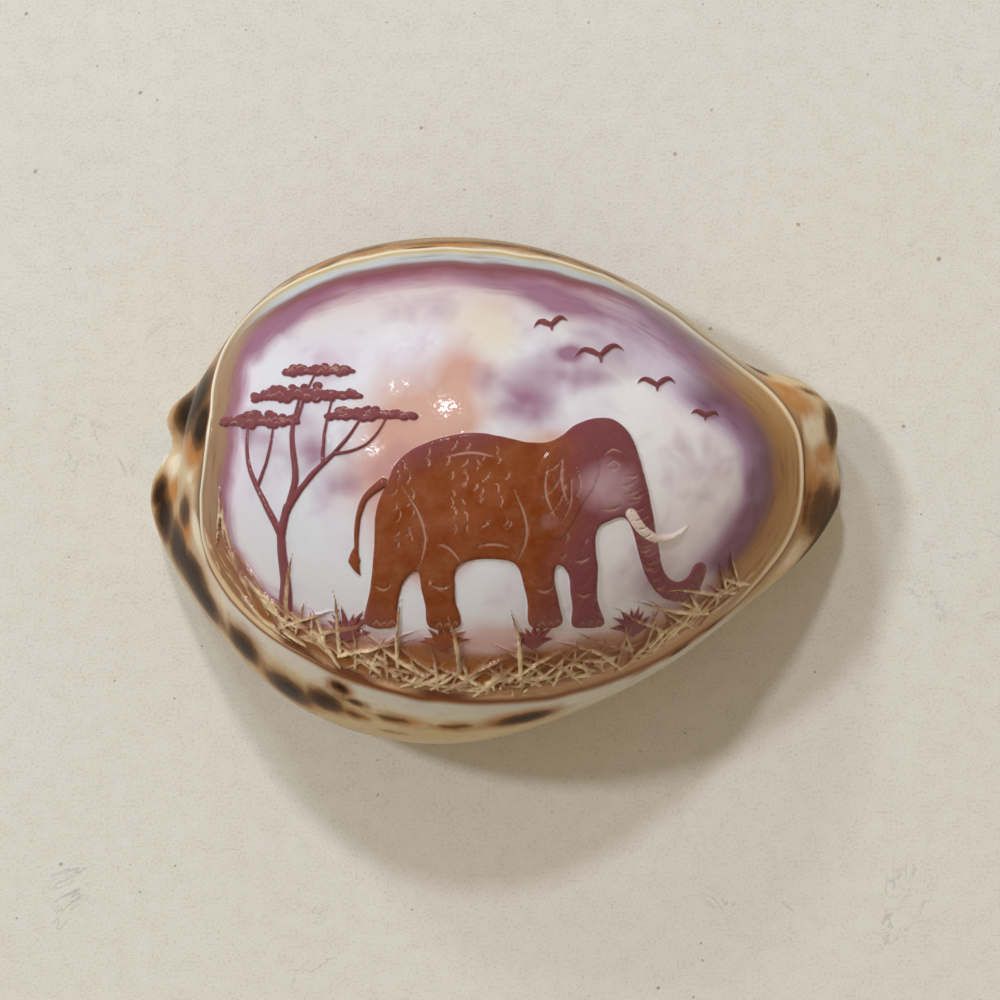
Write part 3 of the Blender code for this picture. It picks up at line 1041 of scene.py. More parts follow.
@dataclass(frozen=True)
class GrassBed:
    """Grass along the window's lower edge, laid blade by blade by rule."""

    first: float = 190.0  # degrees round the window's middle, from the right
    last: float = 337.0
    middle: Point = WINDOW_MIDDLE
    habits: tuple[Habit, ...] = (
        Habit(1.0, (78, 89), (7.0, 12.0), 0.34, (0.2, 2.8), (0.0, 0.24), 1.0, -1, 0.08, 0.3),
        Habit(2.0, (4, 30), (2.6, 5.6), 0.42, (0.9, 2.0), (0.2, 1.0), 0.3, 0, 0.04, 0.7),
        Habit(1.7, (44, 66), (3.6, 7.6), 0.44, (0.5, 2.2), (0.17, 1.0), 0.4, 0, 0.06, 0.6),
        Habit(1.7, (70, 92), (3.4, 7.0), 0.36, (0.6, 2.8), (0.15, 1.0), 1.0, 0, 0.06, 0.3),
        Habit(2.6, (50, 72), (7.0, 9.5), 0.36, (1.0, 2.4), (0.2, 0.95), 0.5, 0, 0.06),
        Habit(7.5, (2, 12), (6.5, 8.5), 0.55, (2.2, 3.0), (0.2, 0.62), 0.0, 0, 0.05),
        Habit(0.8, (0, 180), (0.5, 1.3), 0.3, (0.6, 2.6), (0.36, 0.62), 1.0, 0, 0.2),
    )
    bow: float = 0.06  # of a blade, as a share of its length
    set_back: float = 0.3  # of its length that a blade starts before its root
    width_spread: Point = (0.8, 1.25)
    upper_width: float = 0.7
    height: Point = (0.45, 1.0)
    seed: int = 11

    def edge_line(self, ring: Array) -> Array:
        """Gives the stretch of the window's edge that the bed follows.

        Args:
            ring: the window's edge.

        Returns:
            The points of the stretch.
        """
        away = ring - np.array(self.middle)
        turn = np.degrees(np.arctan2(away[:, 1], away[:, 0])) % 360
        order = np.argsort(turn)
        return ring[order][(turn[order] > self.first) & (turn[order] < self.last)]

    def roots(self, line: Array, habit: Habit) -> list[tuple[Array, Array]]:
        """Gives where blades of one sort stand.

        Args:
            line: the window's edge along the bed.
            habit: the sort of blade.

        Returns:
            A root point and an inward direction for each place.
        """
        length = distance_along(line)
        first, last = (share * length[-1] for share in habit.part)
        roots = []
        for at in np.arange(first, last, habit.spacing):
            near = np.array([at, at - 1, at + 1])
            here, before, after = np.stack(
                [np.interp(near, length, line[:, axis]) for axis in (0, 1)], axis=1
            )
            ahead = unit(after - before)
            roots.append((here, np.array([-ahead[1], ahead[0]])))
        return roots

    def blades(self, ring: Array) -> list[Blade]:
        """Lays the blades.

        Args:
            ring: the window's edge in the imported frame.

        Returns:
            The blades, sort by sort, each from the left to the right.
        """
        rng = np.random.default_rng(self.seed)
        line = self.edge_line(ring)
        blades = []
        for habit in self.habits:
            for root, inward in self.roots(line, habit):
                upright = inward * habit.inward + np.array([0.0, 1.0]) * (1 - habit.inward)
                side = habit.one_way or rng.choice((-1, 1))
                lean = -side * math.radians(rng.uniform(*habit.lean))
                facing = math.atan2(upright[1], upright[0]) + lean
                way = np.array([math.cos(facing), math.sin(facing)])
                long = rng.uniform(*habit.length)
                start = root + inward * rng.uniform(*habit.start)
                start = start - way * long * self.set_back * (1 - habit.root)
                bow = np.array([-way[1], way[0]]) * long * rng.uniform(-self.bow, self.bow)
                wide = habit.width * rng.uniform(*self.width_spread)
                widths = (wide * habit.root, wide, wide * self.upper_width, habit.tip)
                points = tuple(start), tuple(start + way * long / 2 + bow), tuple(start + way * long)
                blades.append(Blade(Stroke(points, widths, steps=7), rng.uniform(*self.height)))
        return blades


@dataclass(frozen=True)
class Relief:
    """What the carver left at each point."""

    lift: Array
    figure: Array
    tusk: Array
    cut: Array
    blade: Array
    blade_top: Array


@dataclass
class Carving:
    """The carved scene: figures left standing, lines cut in, and the bed of grass."""

    window: Window
    form: ShellForm
    elephant: Elephant = field(default_factory=Elephant)
    acacia: Acacia = field(default_factory=Acacia)
    birds: Birds = field(default_factory=Birds)
    shrubs: Shrubs = field(default_factory=Shrubs)
    grass: GrassBed = field(default_factory=GrassBed)
    figure_lift: float = 0.42
    figure_edge: Point = (-0.05, 0.22)  # where a figure rises, from just outside its line
    figure_crown: Point = (0.2, 2.4)  # where it swells further
    crown_lift: float = 0.08
    ear_lift: float = 0.14
    ear_edge: Point = (-0.04, 0.16)
    tusk_lift: float = 0.16
    tusk_edge: Point = (-0.05, 0.3)
    cut_depth: float = 0.24
    cut_margin: float = 0.6
    least_half_cut: float = 0.05
    foot_depth: float = 0.03  # of the hollow along a figure's foot
    foot: Point = (-1.8, -0.1)
    blade_reach: float = 0.85  # of the ground depth that a blade's root stands up
    blade_margin: float = 0.8
    blade_edge: Point = (-0.035, 0.09)
    blade_full: float = 0.2  # the depth past which a blade counts no more where blades cross
    blade_slope: Point = (0.3, 1.0)  # the shares of its length between which it comes down
    blade_drop: float = 0.8
    web: float = 0.045  # how far blades that cross run into each other
    figure_wobble: tuple[float, float, int] = (0.04, 1.1, 3)  # reach, grain and seed
    blade_wobble: tuple[float, float, int] = (0.05, 0.8, 7)

    def __post_init__(self) -> None:
        """Draws every shape once."""
        self.ring = (self.window.ring() - np.array(self.form.centre)) * self.form.scale
        self.figures = self.elephant.shapes() + self.acacia.shapes() + self.birds.shapes()
        self.figures += self.shrubs.shapes()
        self.ear, self.tusk = self.elephant.ear_and_tusk()
        self.cuts = self.elephant.incised() + self.acacia.incised()
        self.blades = self.grass.blades(self.ring)

    def measure(self, plan: Array, ground: Array) -> Relief:
        """Measures the carving at points of the back.

        Args:
            plan: the points in plan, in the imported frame.
            ground: how deep the back is ground away at each.

        Returns:
            What the carver left there.
        """
        steady = unsteady(plan, *self.figure_wobble)
        figure = joined(self.figures, steady)
        ear = self.ear.depth_inside(steady)[0]
        tusk = self.tusk.depth_inside(plan)[0]
        cut = np.zeros(len(plan))
        for stroke in self.cuts:
            depth, share = stroke.depth_inside(steady, self.cut_margin)
            half = np.maximum(stroke.half_width(share), self.least_half_cut)
            cut = np.maximum(cut, smoothstep(0, 1, np.clip(depth / half, 0, 1)))
        blade, top = self.grass_on(unsteady(plan, *self.blade_wobble))
        body = smoothstep(*self.figure_edge, figure)
        lift = self.figure_lift * body + self.crown_lift * smoothstep(*self.figure_crown, figure)
        lift += self.ear_lift * smoothstep(*self.ear_edge, ear)
        tusk_top = (self.figure_lift + self.tusk_lift) * smoothstep(*self.tusk_edge, tusk)
        lift = np.maximum(lift, tusk_top)
        lift -= self.cut_depth * cut * body
        lift = np.maximum(lift, ground * self.blade_reach * top)
        lift -= self.foot_depth * smoothstep(*self.foot, figure) * (1 - body)
        return Relief(lift, figure, tusk, cut, blade, top)

    def grass_on(self, plan: Array) -> tuple[Array, Array]:
        """Measures the grass, with the blades run together where they cross.

        Args:
            plan: the points in plan.

        Returns:
            From 0 to 1 how much of a blade there is at each point, and how high it stands.
        """
        total = np.full(len(plan), TINY)
        height = np.zeros(len(plan))
        for one in self.blades:
            depth, share = one.stroke.depth_inside(plan, self.blade_margin)
            weight = np.exp(np.minimum(depth, self.blade_full) / self.web)
            total += weight
            top = one.height * (1 - self.blade_drop * smoothstep(*self.blade_slope, share))
            height += weight * top
        blade = smoothstep(*self.blade_edge, self.web * np.log(total))
        return blade, blade * height / total

    def is_fine(self, plan: Array, reach: float) -> Array:
        """Tells where the mesh has to be finest.

        Args:
            plan: the points in plan.
            reach: how far from a crisp line the finest mesh goes.

        Returns:
            True for each point close to a crisp line.
        """
        fine = np.abs(joined(self.figures, plan)) < reach
        for shape in (self.ear, self.tusk):
            fine |= np.abs(shape.depth_inside(plan)[0]) < reach
        fine |= joined(self.cuts, plan) > -reach * 0.4
        fine |= joined([one.stroke for one in self.blades], plan) > -reach * 0.6
        return fine


@dataclass(frozen=True)
class Mark:
    """A soft mark of colour: middle, half sizes along and across, strength and turn."""

    middle: Point
    size: Point
    strength: float = 1.0
    turn: float = 0.0  # degrees

    @classmethod
    def rows(cls, *rows: Sequence[float]) -> tuple[Self, ...]:
        """Makes marks from rows: two numbers of place, two half sizes, strength and turn."""
        return tuple(cls((x, y), (long, wide), *more) for x, y, long, wide, *more in rows)


@dataclass(frozen=True)
class Blob(Mark):
    """A cloud of colour on the back, in plan."""

    def at(self, plan: Array) -> Array:
        """Gives the cloud's strength at points in plan."""
        along, across = turned(*(plan - np.array(self.middle)).T, self.turn)
        far = (along / self.size[0]) ** 2 + (across / self.size[1]) ** 2
        return self.strength * np.exp(-(far**1.3))


@dataclass(frozen=True)
class Spot:
    """A blurred spot of colour in the glaze, at a place on the shell."""

    middle: Place
    size: Place  # half sizes: along and across in plan, and up
    strength: float
    turn: float = 0.0  # degrees
    fade: Point = (0.4, 1.5)  # where it fades, as a share of its half sizes

    def at(self, points: Array, grow: float = 1.0) -> Array:
        """Gives the spot's strength at points.

        Args:
            points: the points.
            grow: how much larger than drawn the spot is taken.

        Returns:
            The strength, from 0 to the spot's own.
        """
        away = points - np.array(self.middle)
        long, wide, high = (size * grow for size in self.size)
        strength = np.zeros(len(points))
        near = np.all(np.abs(away) < 1.6 * max(long, wide, high), axis=1)
        x, y, z = away[near].T
        along, across = turned(x, y, self.turn)
        far = np.sqrt((along / long) ** 2 + (across / wide) ** 2 + (z / high) ** 2)
        strength[near] = self.strength * (1 - smoothstep(*self.fade, far))
        return strength


@dataclass(frozen=True)
class Patch(Mark):
    """A spot placed where it is seen from above, in mm from the middle of the picture."""

    def settled(self, points: Array, seen_at: Array) -> Spot:
        """Finds where on the shell the patch lies.

        Args:
            points: points of the shell that are seen from above, in mm.
            seen_at: where each is seen, in mm on the floor.

        Returns:
            The spot on the shell.
        """
        nearest = int(np.argmin(np.sum((seen_at - np.array(self.middle)) ** 2, axis=1)))
        long, wide = self.size
        return Spot(
            tuple(points[nearest]), (long, wide, max(long, 2.5 * wide)), self.strength, self.turn
        )


@dataclass(frozen=True)
class Markings:
    """The clouds in the ground window and the patches round it."""

    dark: tuple[Patch, ...] = Patch.rows(
        (-38, 12.5, 4.2, 2.8, 1, 66), (-37.6, 9.4, 3, 1.6, 1, 80), (-39.4, 10.8, 3, 2.2, 1, 64),
        (-36.9, 14.8, 0.9, 0.47, 0.6, 60), (-42.6, 0.9, 2, 1.2, 1, 80),
        (-39.6, -1.3, 2, 1.2, 0.9, 75), (-42.1, -2.2, 3, 1.8, 1, -77),
        (-40.5, -6, 3.6, 2.1, 1, -66), (-38.7, -9.5, 3.6, 2.1, 1, -60),
        (-37.1, -12.5, 3, 1.7, 1, -57), (-36.2, -15, 1.2, 0.59, 0.75, -56),
        (-37, -11, 1.1, 0.71, 0.6, -60), (-32, -18.3, 2.6, 1.8, 1, -55),
        (-26.6, -23.6, 3, 1.8, 1, -36), (-22.2, -25.4, 2.2, 1.5, 0.9, -26),
        (-19.9, -23.8, 1.2, 0.71, 0.95, -38), (-17.8, -25.4, 1.4, 0.47, 0.85, -28),
        (-18.6, -26.9, 1.3, 0.59, 0.6, -18), (-12.8, -27.6, 1.8, 0.53, 0.7, -6),
        (-13, -29, 1.4, 0.36, 0.4, -5), (-5.6, -28.2, 1.8, 0.47, 0.6, 4),
        (2.8, -27.2, 3.6, 0.71, 1, 9), (3, -27.1, 1.9, 0.47, 0.6, 9),
        (26.8, -15.3, 1.9, 0.59, 0.95, 37), (22.6, -18.7, 1.5, 0.47, 0.6, 32),
        (32.3, -10, 1.2, 0.36, 0.6, 48), (17.5, -21.6, 1.4, 0.36, 0.3, 25),
        (41.6, 9.2, 3, 1.1, 0.7, 95), (40.2, -1.4, 3.6, 2.2, 0.7, 72),
        (38.4, -1.2, 2.8, 0.6, 0.55, 85), (40.8, -4, 3.4, 1.4, 0.95, 62),
        (41.9, -1, 2.8, 1.1, 0.75, 85), (39.1, -6, 2.4, 0.47, 0.6, 52),
        (38.1, 3.8, 4.7, 0.21, 0.7, -86), (39.1, 13.5, 2.6, 0.3, 0.5, -14),
        (35.7, 15.4, 1.9, 0.36, 0.7, -18), (32.2, 16.3, 1.4, 0.41, 0.9, -30),
        (-27.4, 26.2, 3.1, 0.36, 0.4, 46), (-21.2, 29.6, 2.6, 0.36, 0.4, 30),
        (-16.5, 31.4, 2.8, 0.31, 0.5, 14), (-30.3, 22.8, 2.4, 0.36, 0.5, 52),
        (-7.5, 32.3, 4.7, 0.28, 0.4, 2), (-0.3, 32, 4.7, 0.31, 0.5, -5),
        (5.6, 31, 2.8, 0.36, 0.5, -13), (10.7, 29.4, 2.6, 0.26, 0.45, -22),
        (14, 28.1, 1.9, 0.19, 0.6, -28), (-25.1, 26.2, 1.9, 0.26, 0.5, 40),
        (-10, 31.6, 1.9, 0.24, 0.5, 4),
    )
    amber: tuple[Patch, ...] = Patch.rows(
        (-38.6, 6.3, 2.6, 1.9, 0.8, 40), (-40.9, 0.9, 2.6, 1.5, 0.95, 35),
        (-39.9, -3.1, 2.6, 1.5, 0.9, -70), (-38.1, 3.1, 1.2, 0.71, 0.35, 80),
        (-36.9, -13, 1.7, 0.71, 0.5, -58), (-29.8, -21.3, 2.6, 0.95, 0.45, -45),
        (-24.3, -25.4, 2.4, 0.95, 0.5, -28), (-18.4, -26.8, 1.7, 0.83, 0.8, -18),
        (-20.1, -23.8, 2.1, 1.1, 0.5, -35), (-12.5, -27.5, 2.6, 0.83, 0.7, -5),
        (-6, -28.2, 2.4, 0.71, 0.8, 4), (2.5, -27.3, 5, 1.1, 0.55, 9),
        (37.6, 12.4, 3.8, 1.6, 0.7, -20), (36.3, 14, 3.1, 0.71, 0.8, -18),
        (40.5, 5.6, 2.4, 1.7, 0.75, 10), (40.4, 2.3, 1.4, 1.1, 0.5, 75),
        (39.2, 0.6, 4.8, 2.6, 0.65, 82), (-23.8, 28.6, 5.2, 0.71, 0.45, 36),
        (-15, 31.3, 4.7, 0.59, 0.4, 12), (-30.7, 22.3, 3.3, 0.59, 0.45, 52),
        (-6.3, 32, 4.7, 0.47, 0.6, 0), (2.5, 31.5, 4.7, 0.59, 0.4, -9),
        (9.4, 29.8, 2.8, 0.36, 0.6, -20),
    )
    white: tuple[Patch, ...] = Patch.rows(
        (39.2, 8.9, 2.2, 1.9, 1, 70), (40.1, 3.5, 1.2, 1.1, 0.7, 0), (37.7, -6, 3.3, 0.83, 0.7, 50),
        (-40.6, 4.5, 1.9, 1.3, 1, 30), (-37.9, -4.3, 3.6, 0.59, 0.9, -76),
        (-35.7, -11.3, 3.6, 0.71, 0.9, -63), (-38.9, 3, 1.7, 0.59, 0.8, 40),
        (33.8, -11.3, 3.6, 0.59, 0.5, 42),
    )
    mauve: tuple[Blob, ...] = Blob.rows(
        (-24.4, 20.8, 7.2, 1.7, 0.95, 35), (-15.7, 23.9, 6, 1.2, 0.35, 14),
        (-7.6, 25.2, 7, 0.9, 0.3, 3), (1.1, 24.7, 5.5, 1, 0.7, -5),
        (7.5, 22.6, 4.8, 1.8, 1.1, -14), (15.5, 19.9, 5.8, 1.8, 0.45, -28),
        (-8.5, 21.2, 5, 2.2, 0.3, 5), (8.6, 16.3, 1.7, 1.1, 0.85), (4.9, 9.6, 2.9, 2, 0.75),
        (1.1, 8.8, 1.8, 2.5, 0.4), (-1.4, 12.9, 1.6, 2, 0.45), (11.9, 13.5, 4.5, 1.4, 0.4),
        (23.6, 16, 3.9, 1.6, 0.5, -35), (28.2, 11.1, 1.8, 4.6, 0.5, 20),
        (15.6, 15.8, 3.4, 2.1, 0.3, -20), (2.8, 12.6, 3, 2.4, 0.5), (7.4, 14.6, 4, 3, 0.4),
        (12.2, 17.6, 4.2, 2.8, 0.35, -20), (-20.6, 4.5, 1.7, 1.6, 0.6), (-20.1, 4.8, 5, 5.7, 0.32),
        (-17.5, 0.5, 2.5, 1.4, 0.35), (-26.8, 6.2, 1.6, 1.1, 0.45), (-28.7, 7.6, 1, 2.5, 0.6),
        (-28.5, 17.6, 1.4, 2.6, 0.5, 10), (17.6, -11.3, 5.7, 3, 0.42, -25),
        (28.5, -5.7, 2.1, 3.9, 0.55, -25), (23.3, 2.4, 6.8, 4.5, 0.18), (10.6, 2.3, 4.5, 1.1, 0.2),
        (-8.6, -18.3, 5.3, 1, 0.5), (-10.7, 2.3, 2.7, 3.4, 0.3),
    )
    peach: tuple[Blob, ...] = Blob.rows(
        (-3.9, 14.1, 3.2, 3.4, 0.85), (-6.2, 7.9, 5.6, 2.9, 0.85, 10), (-10.7, 10.2, 4.5, 4.5, 0.55),
        (-13.2, 2.3, 4.5, 6.7, 0.6), (-5.6, 9.4, 3.4, 3, 0.3), (-7.3, 0.1, 6.7, 7.8, 0.5),
        (6.6, 5.2, 2.9, 2, 0.55), (2.8, 4.5, 5.6, 2.2, 0.45), (-7.9, -6.4, 4.9, 4.5, 1),
        (0, 21.9, 2.8, 1.6, 0.3), (0.6, -18.2, 10.3, 2.7, 0.6), (-2.9, -23.1, 13.9, 1.2, 0.6),
    )
    cream: tuple[Blob, ...] = Blob.rows(
        (-2, 20, 3.9, 3.4, 0.75), (0.6, 16.5, 2.5, 3.9, 0.5), (5.6, 5, 3.4, 1.6, 0.6),
        (-6.2, 10.2, 6.7, 5.6, 0.3),
    )
    earth: tuple[Blob, ...] = Blob.rows(
        (-31.6, -8.6, 4.6, 1, 0.35, -68), (-28.4, -13.6, 4.4, 1.2, 0.6, -50),
        (-23.8, -17.4, 4.2, 1.5, 1, -36), (-8.1, -19.9, 6, 1.7, 1.2, -5),
        (2.9, -20.4, 5.3, 1.6, 1, 4), (-16.9, -20.6, 5.3, 1.4, 0.9, -24),
        (10.9, -18.3, 4.6, 1.4, 0.5, 12), (-2.9, -22.8, 12.7, 1.2, 0.7),
    )
    ember: tuple[Blob, ...] = Blob.rows(
        (-21.4, -19.6, 5, 0.7, 1, -38), (-15.2, -22.2, 4.6, 0.7, 1, -24),
        (-6.1, -23.8, 4.6, 0.6, 0.7, -6),
    )
    warm: tuple[Blob, ...] = Blob.rows(
        (-6, -8, 14, 13, 1.15), (4, 2, 7, 8, 0.6),
    )
    pale: tuple[Blob, ...] = Blob.rows(
        (12.5, 0.5, 3.6, 3.4, 0.9), (6, -3.5, 2, 1.6, 0.4), (18.5, -6, 2.2, 3, 0.4),
    )
    flank_rows: Widths = (0.60, 0.665, 0.73)
    flank_step: float = 6.4
    flank_shift: float = 3.2  # of every other row
    flank_ends: Point = (9.0, 8.0)  # how far from the hind and the front end the rows start
    flank_scatter: Point = (1.6, 0.015)  # along the shell, and as a share across it
    flank_size: Point = (1.2, 2.4)
    flank_wide: float = 3.0
    flank_long: Point = (1.0, 1.5)  # of the size
    flank_high: Point = (0.7, 1.0)
    flank_strength: Point = (0.7, 1.0)
    flank_loss: Point = (0.22, 0.2)  # of size and of strength, from row to row
    rim_shape: float = 1.96  # the square of the shell's length over its width
    seed: int = 23

    @staticmethod
    def clouds(blobs: Sequence[Blob], plan: Array) -> Array:
        """Adds up clouds at points in plan, cut off a little above 1."""
        return np.minimum(sum(blob.at(plan) for blob in blobs), 1.3)

    def flank_spots(self, form: ShellForm) -> list[Spot]:
        """Lays the spots of the flanks, which the picture doesn't show, by rule.

        Args:
            form: the shell's shape.

        Returns:
            The spots.
        """
        rng = np.random.default_rng(self.seed)
        (along, around), (less, paler) = self.flank_scatter, self.flank_loss
        last = form.length() - self.flank_ends[1]
        spots = []
        for side in (-1, 1):
            for row, across in enumerate(self.flank_rows):
                first = self.flank_ends[0] + self.flank_shift * (row % 2)
                for at in np.arange(first, last, self.flank_step):
                    place = np.array([at + rng.uniform(-along, along)])
                    turn = np.array([side * (across + rng.uniform(-around, around))])
                    face = form.outer_face(place, turn)
                    x, y = form.plan(face)[0]
                    size = rng.uniform(*self.flank_size) * (1 - less * row)
                    rim = math.degrees(math.atan2(x, -y * self.rim_shape))
                    long = size * rng.uniform(*self.flank_long)
                    sizes = (long, self.flank_wide, size * rng.uniform(*self.flank_high))
                    strength = rng.uniform(*self.flank_strength) * (1 - paler * row)
                    spots.append(Spot((x, y, face[0, 2]), sizes, strength, rim))
        return spots

    @staticmethod
    def stain(spots: Sequence[Spot], points: Array, grow: float = 1.0) -> Array:
        """Gives the strength of the strongest spot at points, the spots taken larger by grow."""
        return reduce(np.maximum, (spot.at(points, grow) for spot in spots))


class Node(Enum):
    """The shader nodes that the finishes use."""

    ATTRIBUTE = "ShaderNodeAttribute"
    COORDINATES = "ShaderNodeTexCoord"
    MAPPING = "ShaderNodeMapping"
    NOISE = "ShaderNodeTexNoise"
    RAMP = "ShaderNodeValToRGB"
    MATH = "ShaderNodeMath"
    MIX = "ShaderNodeMix"
    BUMP = "ShaderNodeBump"
    JOIN = "ShaderNodeCombineXYZ"


@dataclass(frozen=True)
class Wire:
    """A socket that takes part in Python expressions."""

    nodes: Nodes
    socket: bpy.types.NodeSocket

    def __add__(self, other: Wire | float) -> Wire:
        """Adds."""
        return self.nodes.math("ADD", self, other)

    def __radd__(self, other: float) -> Wire:
        """Adds, the other way round."""
        return self.nodes.math("ADD", other, self)

    def __sub__(self, other: Wire | float) -> Wire:
        """Subtracts."""
        return self.nodes.math("SUBTRACT", self, other)

    def __rsub__(self, other: float) -> Wire:
        """Subtracts, the other way round."""
        return self.nodes.math("SUBTRACT", other, self)

    def __mul__(self, other: Wire | float) -> Wire:
        """Multiplies."""
        return self.nodes.math("MULTIPLY", self, other)

    def __rmul__(self, other: float) -> Wire:
        """Multiplies, the other way round."""
        return self.nodes.math("MULTIPLY", other, self)

    def clamped(self) -> Wire:
        """Cuts the value off at 0 and 1."""
        return self.nodes.math("ADD", self, 0.0, clamp=True)

    def rising(self, low: float, high: float) -> Wire:
        """Gives 0 up to low, 1 from high on, and an even rise between, or a fall if low is more."""
        return self.nodes.math("MULTIPLY", self - low, 1 / (high - low), clamp=True)


@dataclass(frozen=True)
class Nodes:
    """A material's nodes."""

    material: bpy.types.Material

    @classmethod
    def of_new(cls, name: str) -> Nodes:
        """Makes a material and gives its nodes."""
        material = bpy.data.materials.new(name)
        material.use_nodes = True
        return cls(material)

    def surface(self, sockets: dict[str, object]) -> None:
        """Feeds the surface's own sockets, by name, with values or wires."""
        for name, value in sockets.items():
            self._feed(self.material.node_tree.nodes["Principled BSDF"].inputs[name], value)

    def _feed(self, socket: bpy.types.NodeSocket, value: object) -> None:
        """Links a wire to a socket, or else sets the socket's value."""
        if isinstance(value, Wire):
            self.material.node_tree.links.new(value.socket, socket)
        else:
            socket.default_value = value

    def add(
        self,
        kind: Node,
        settings: dict[str, object] | None = None,
        sockets: dict[str | int, object] | None = None,
        output: str | int = 0,
    ) -> Wire:
        """Adds a node.

        Args:
            kind: the node's type.
            settings: its settings, a ramp's stops among them, which are set first.
            sockets: values or wires for its inputs, by name or number.
            output: the output that is wanted.

        Returns:
            The output as a wire.
        """
        node = self.material.node_tree.nodes.new(kind.value)
        for name, value in (settings or {}).items():
            if name == "stops":
                self._set_stops(node, value)
            else:
                setattr(node, name, value)
        for name, value in (sockets or {}).items():
            self._feed(node.inputs[name], value)
        return Wire(self, node.outputs[output])

    @staticmethod
    def _set_stops(node: bpy.types.Node, stops: Sequence[tuple[float, Colour]]) -> None:
        """Sets a ramp's stops, each a place from 0 to 1 and a colour.

        Args:
            node: the ramp.
            stops: the stops.
        """
        elements = node.color_ramp.elements
        while len(elements) > 1:
            elements.remove(elements[-1])
        elements[0].position, elements[0].color = stops[0]
        for place, colour in stops[1:]:
            elements.new(place).color = colour

    def math(
        self, operation: str, first: Wire | float, second: Wire | float, clamp: bool = False
    ) -> Wire:
        """Adds a Math node, its result cut off at 0 and 1 where clamp is set."""
        settings = {"operation": operation, "use_clamp": clamp}
        return self.add(Node.MATH, settings, {0: first, 1: second})

    def mixed(self, share: Wire | float, low: Wire | Colour, high: Wire | Colour) -> Wire:
        """Blends two colours: the share is how much of the second there is."""
        return self.add(Node.MIX, {"data_type": "RGBA"}, {0: share, 6: low, 7: high}, 2)

    def measure(self, name: str) -> Wire:
        """Reads one of the mesh's own measures."""
        return self.add(Node.ATTRIBUTE, {"attribute_name": name}, output="Fac")

    def place_mm(self) -> Wire:
        """Gives the place on the object in mm."""
        where = self.add(Node.COORDINATES, output="Object")
        return self.add(Node.MAPPING, {}, {"Vector": where, "Scale": (1 / MM,) * 3})

    def noise(
        self, where: Wire, grain: float, detail: float = 2.0, rough: float = 0.5, shift: float = 0.0
    ) -> Wire:
        """Adds soft noise about 0.

        Args:
            where: the place in mm.
            grain: the size of its patches in mm.
            detail: how many finer layers it has.
            rough: how strong the finer layers are.
            shift: how much it is warped.

        Returns:
            A number of about -0.5 to 0.5.
        """
        sockets = {
            "Vector": where, "Scale": 1 / grain, "Detail": detail, "Roughness": rough,
            "Distortion": shift,
        }
        return self.add(Node.NOISE, {}, sockets, "Fac") - 0.5

    def ramp(self, value: Wire, stops: Stops, low: float, high: float) -> Wire:
        """Turns a value into a colour, by stops between a lowest and a highest value."""
        placed = [((at - low) / (high - low), colour) for at, colour in stops]
        return self.add(Node.RAMP, {"stops": placed}, {0: value.rising(low, high)}, "Color")

    def bump(self, height: Wire, strength: float) -> Wire:
        """Turns a height into a normal."""
        sockets = {"Height": height, "Strength": strength, "Distance": BUMP_REACH}
        return self.add(Node.BUMP, {}, sockets, "Normal")


class Sector(Enum):
    """The sides of the window, each with the degrees round it, from the right, where it starts."""

    UPPER_RIGHT = 34.0
    TOP = 64.0
    LEFT = 139.0
    LOWER_LEFT = 197.0
    BOTTOM = 233.0
    RIGHT = 322.0

    def share_name(self) -> str:
        """Names the measure that says how far the layers are this side's."""
        return "at_" + self.name.lower()


SECTOR_BLEND = 9.0  # degrees
OTHER_SECTORS = tuple(sector for sector in Sector if sector is not Sector.RIGHT)

FIELD = seen(211, 211, 214)


def layered(*rows: tuple[float, int, int, int], field_at: float = 12.0) -> Stops:
    """Turns rows of a depth and a colour as seen into stops, with the plain field last."""
    return (*((at, seen(red, green, blue)) for at, red, green, blue in rows), (field_at, FIELD))


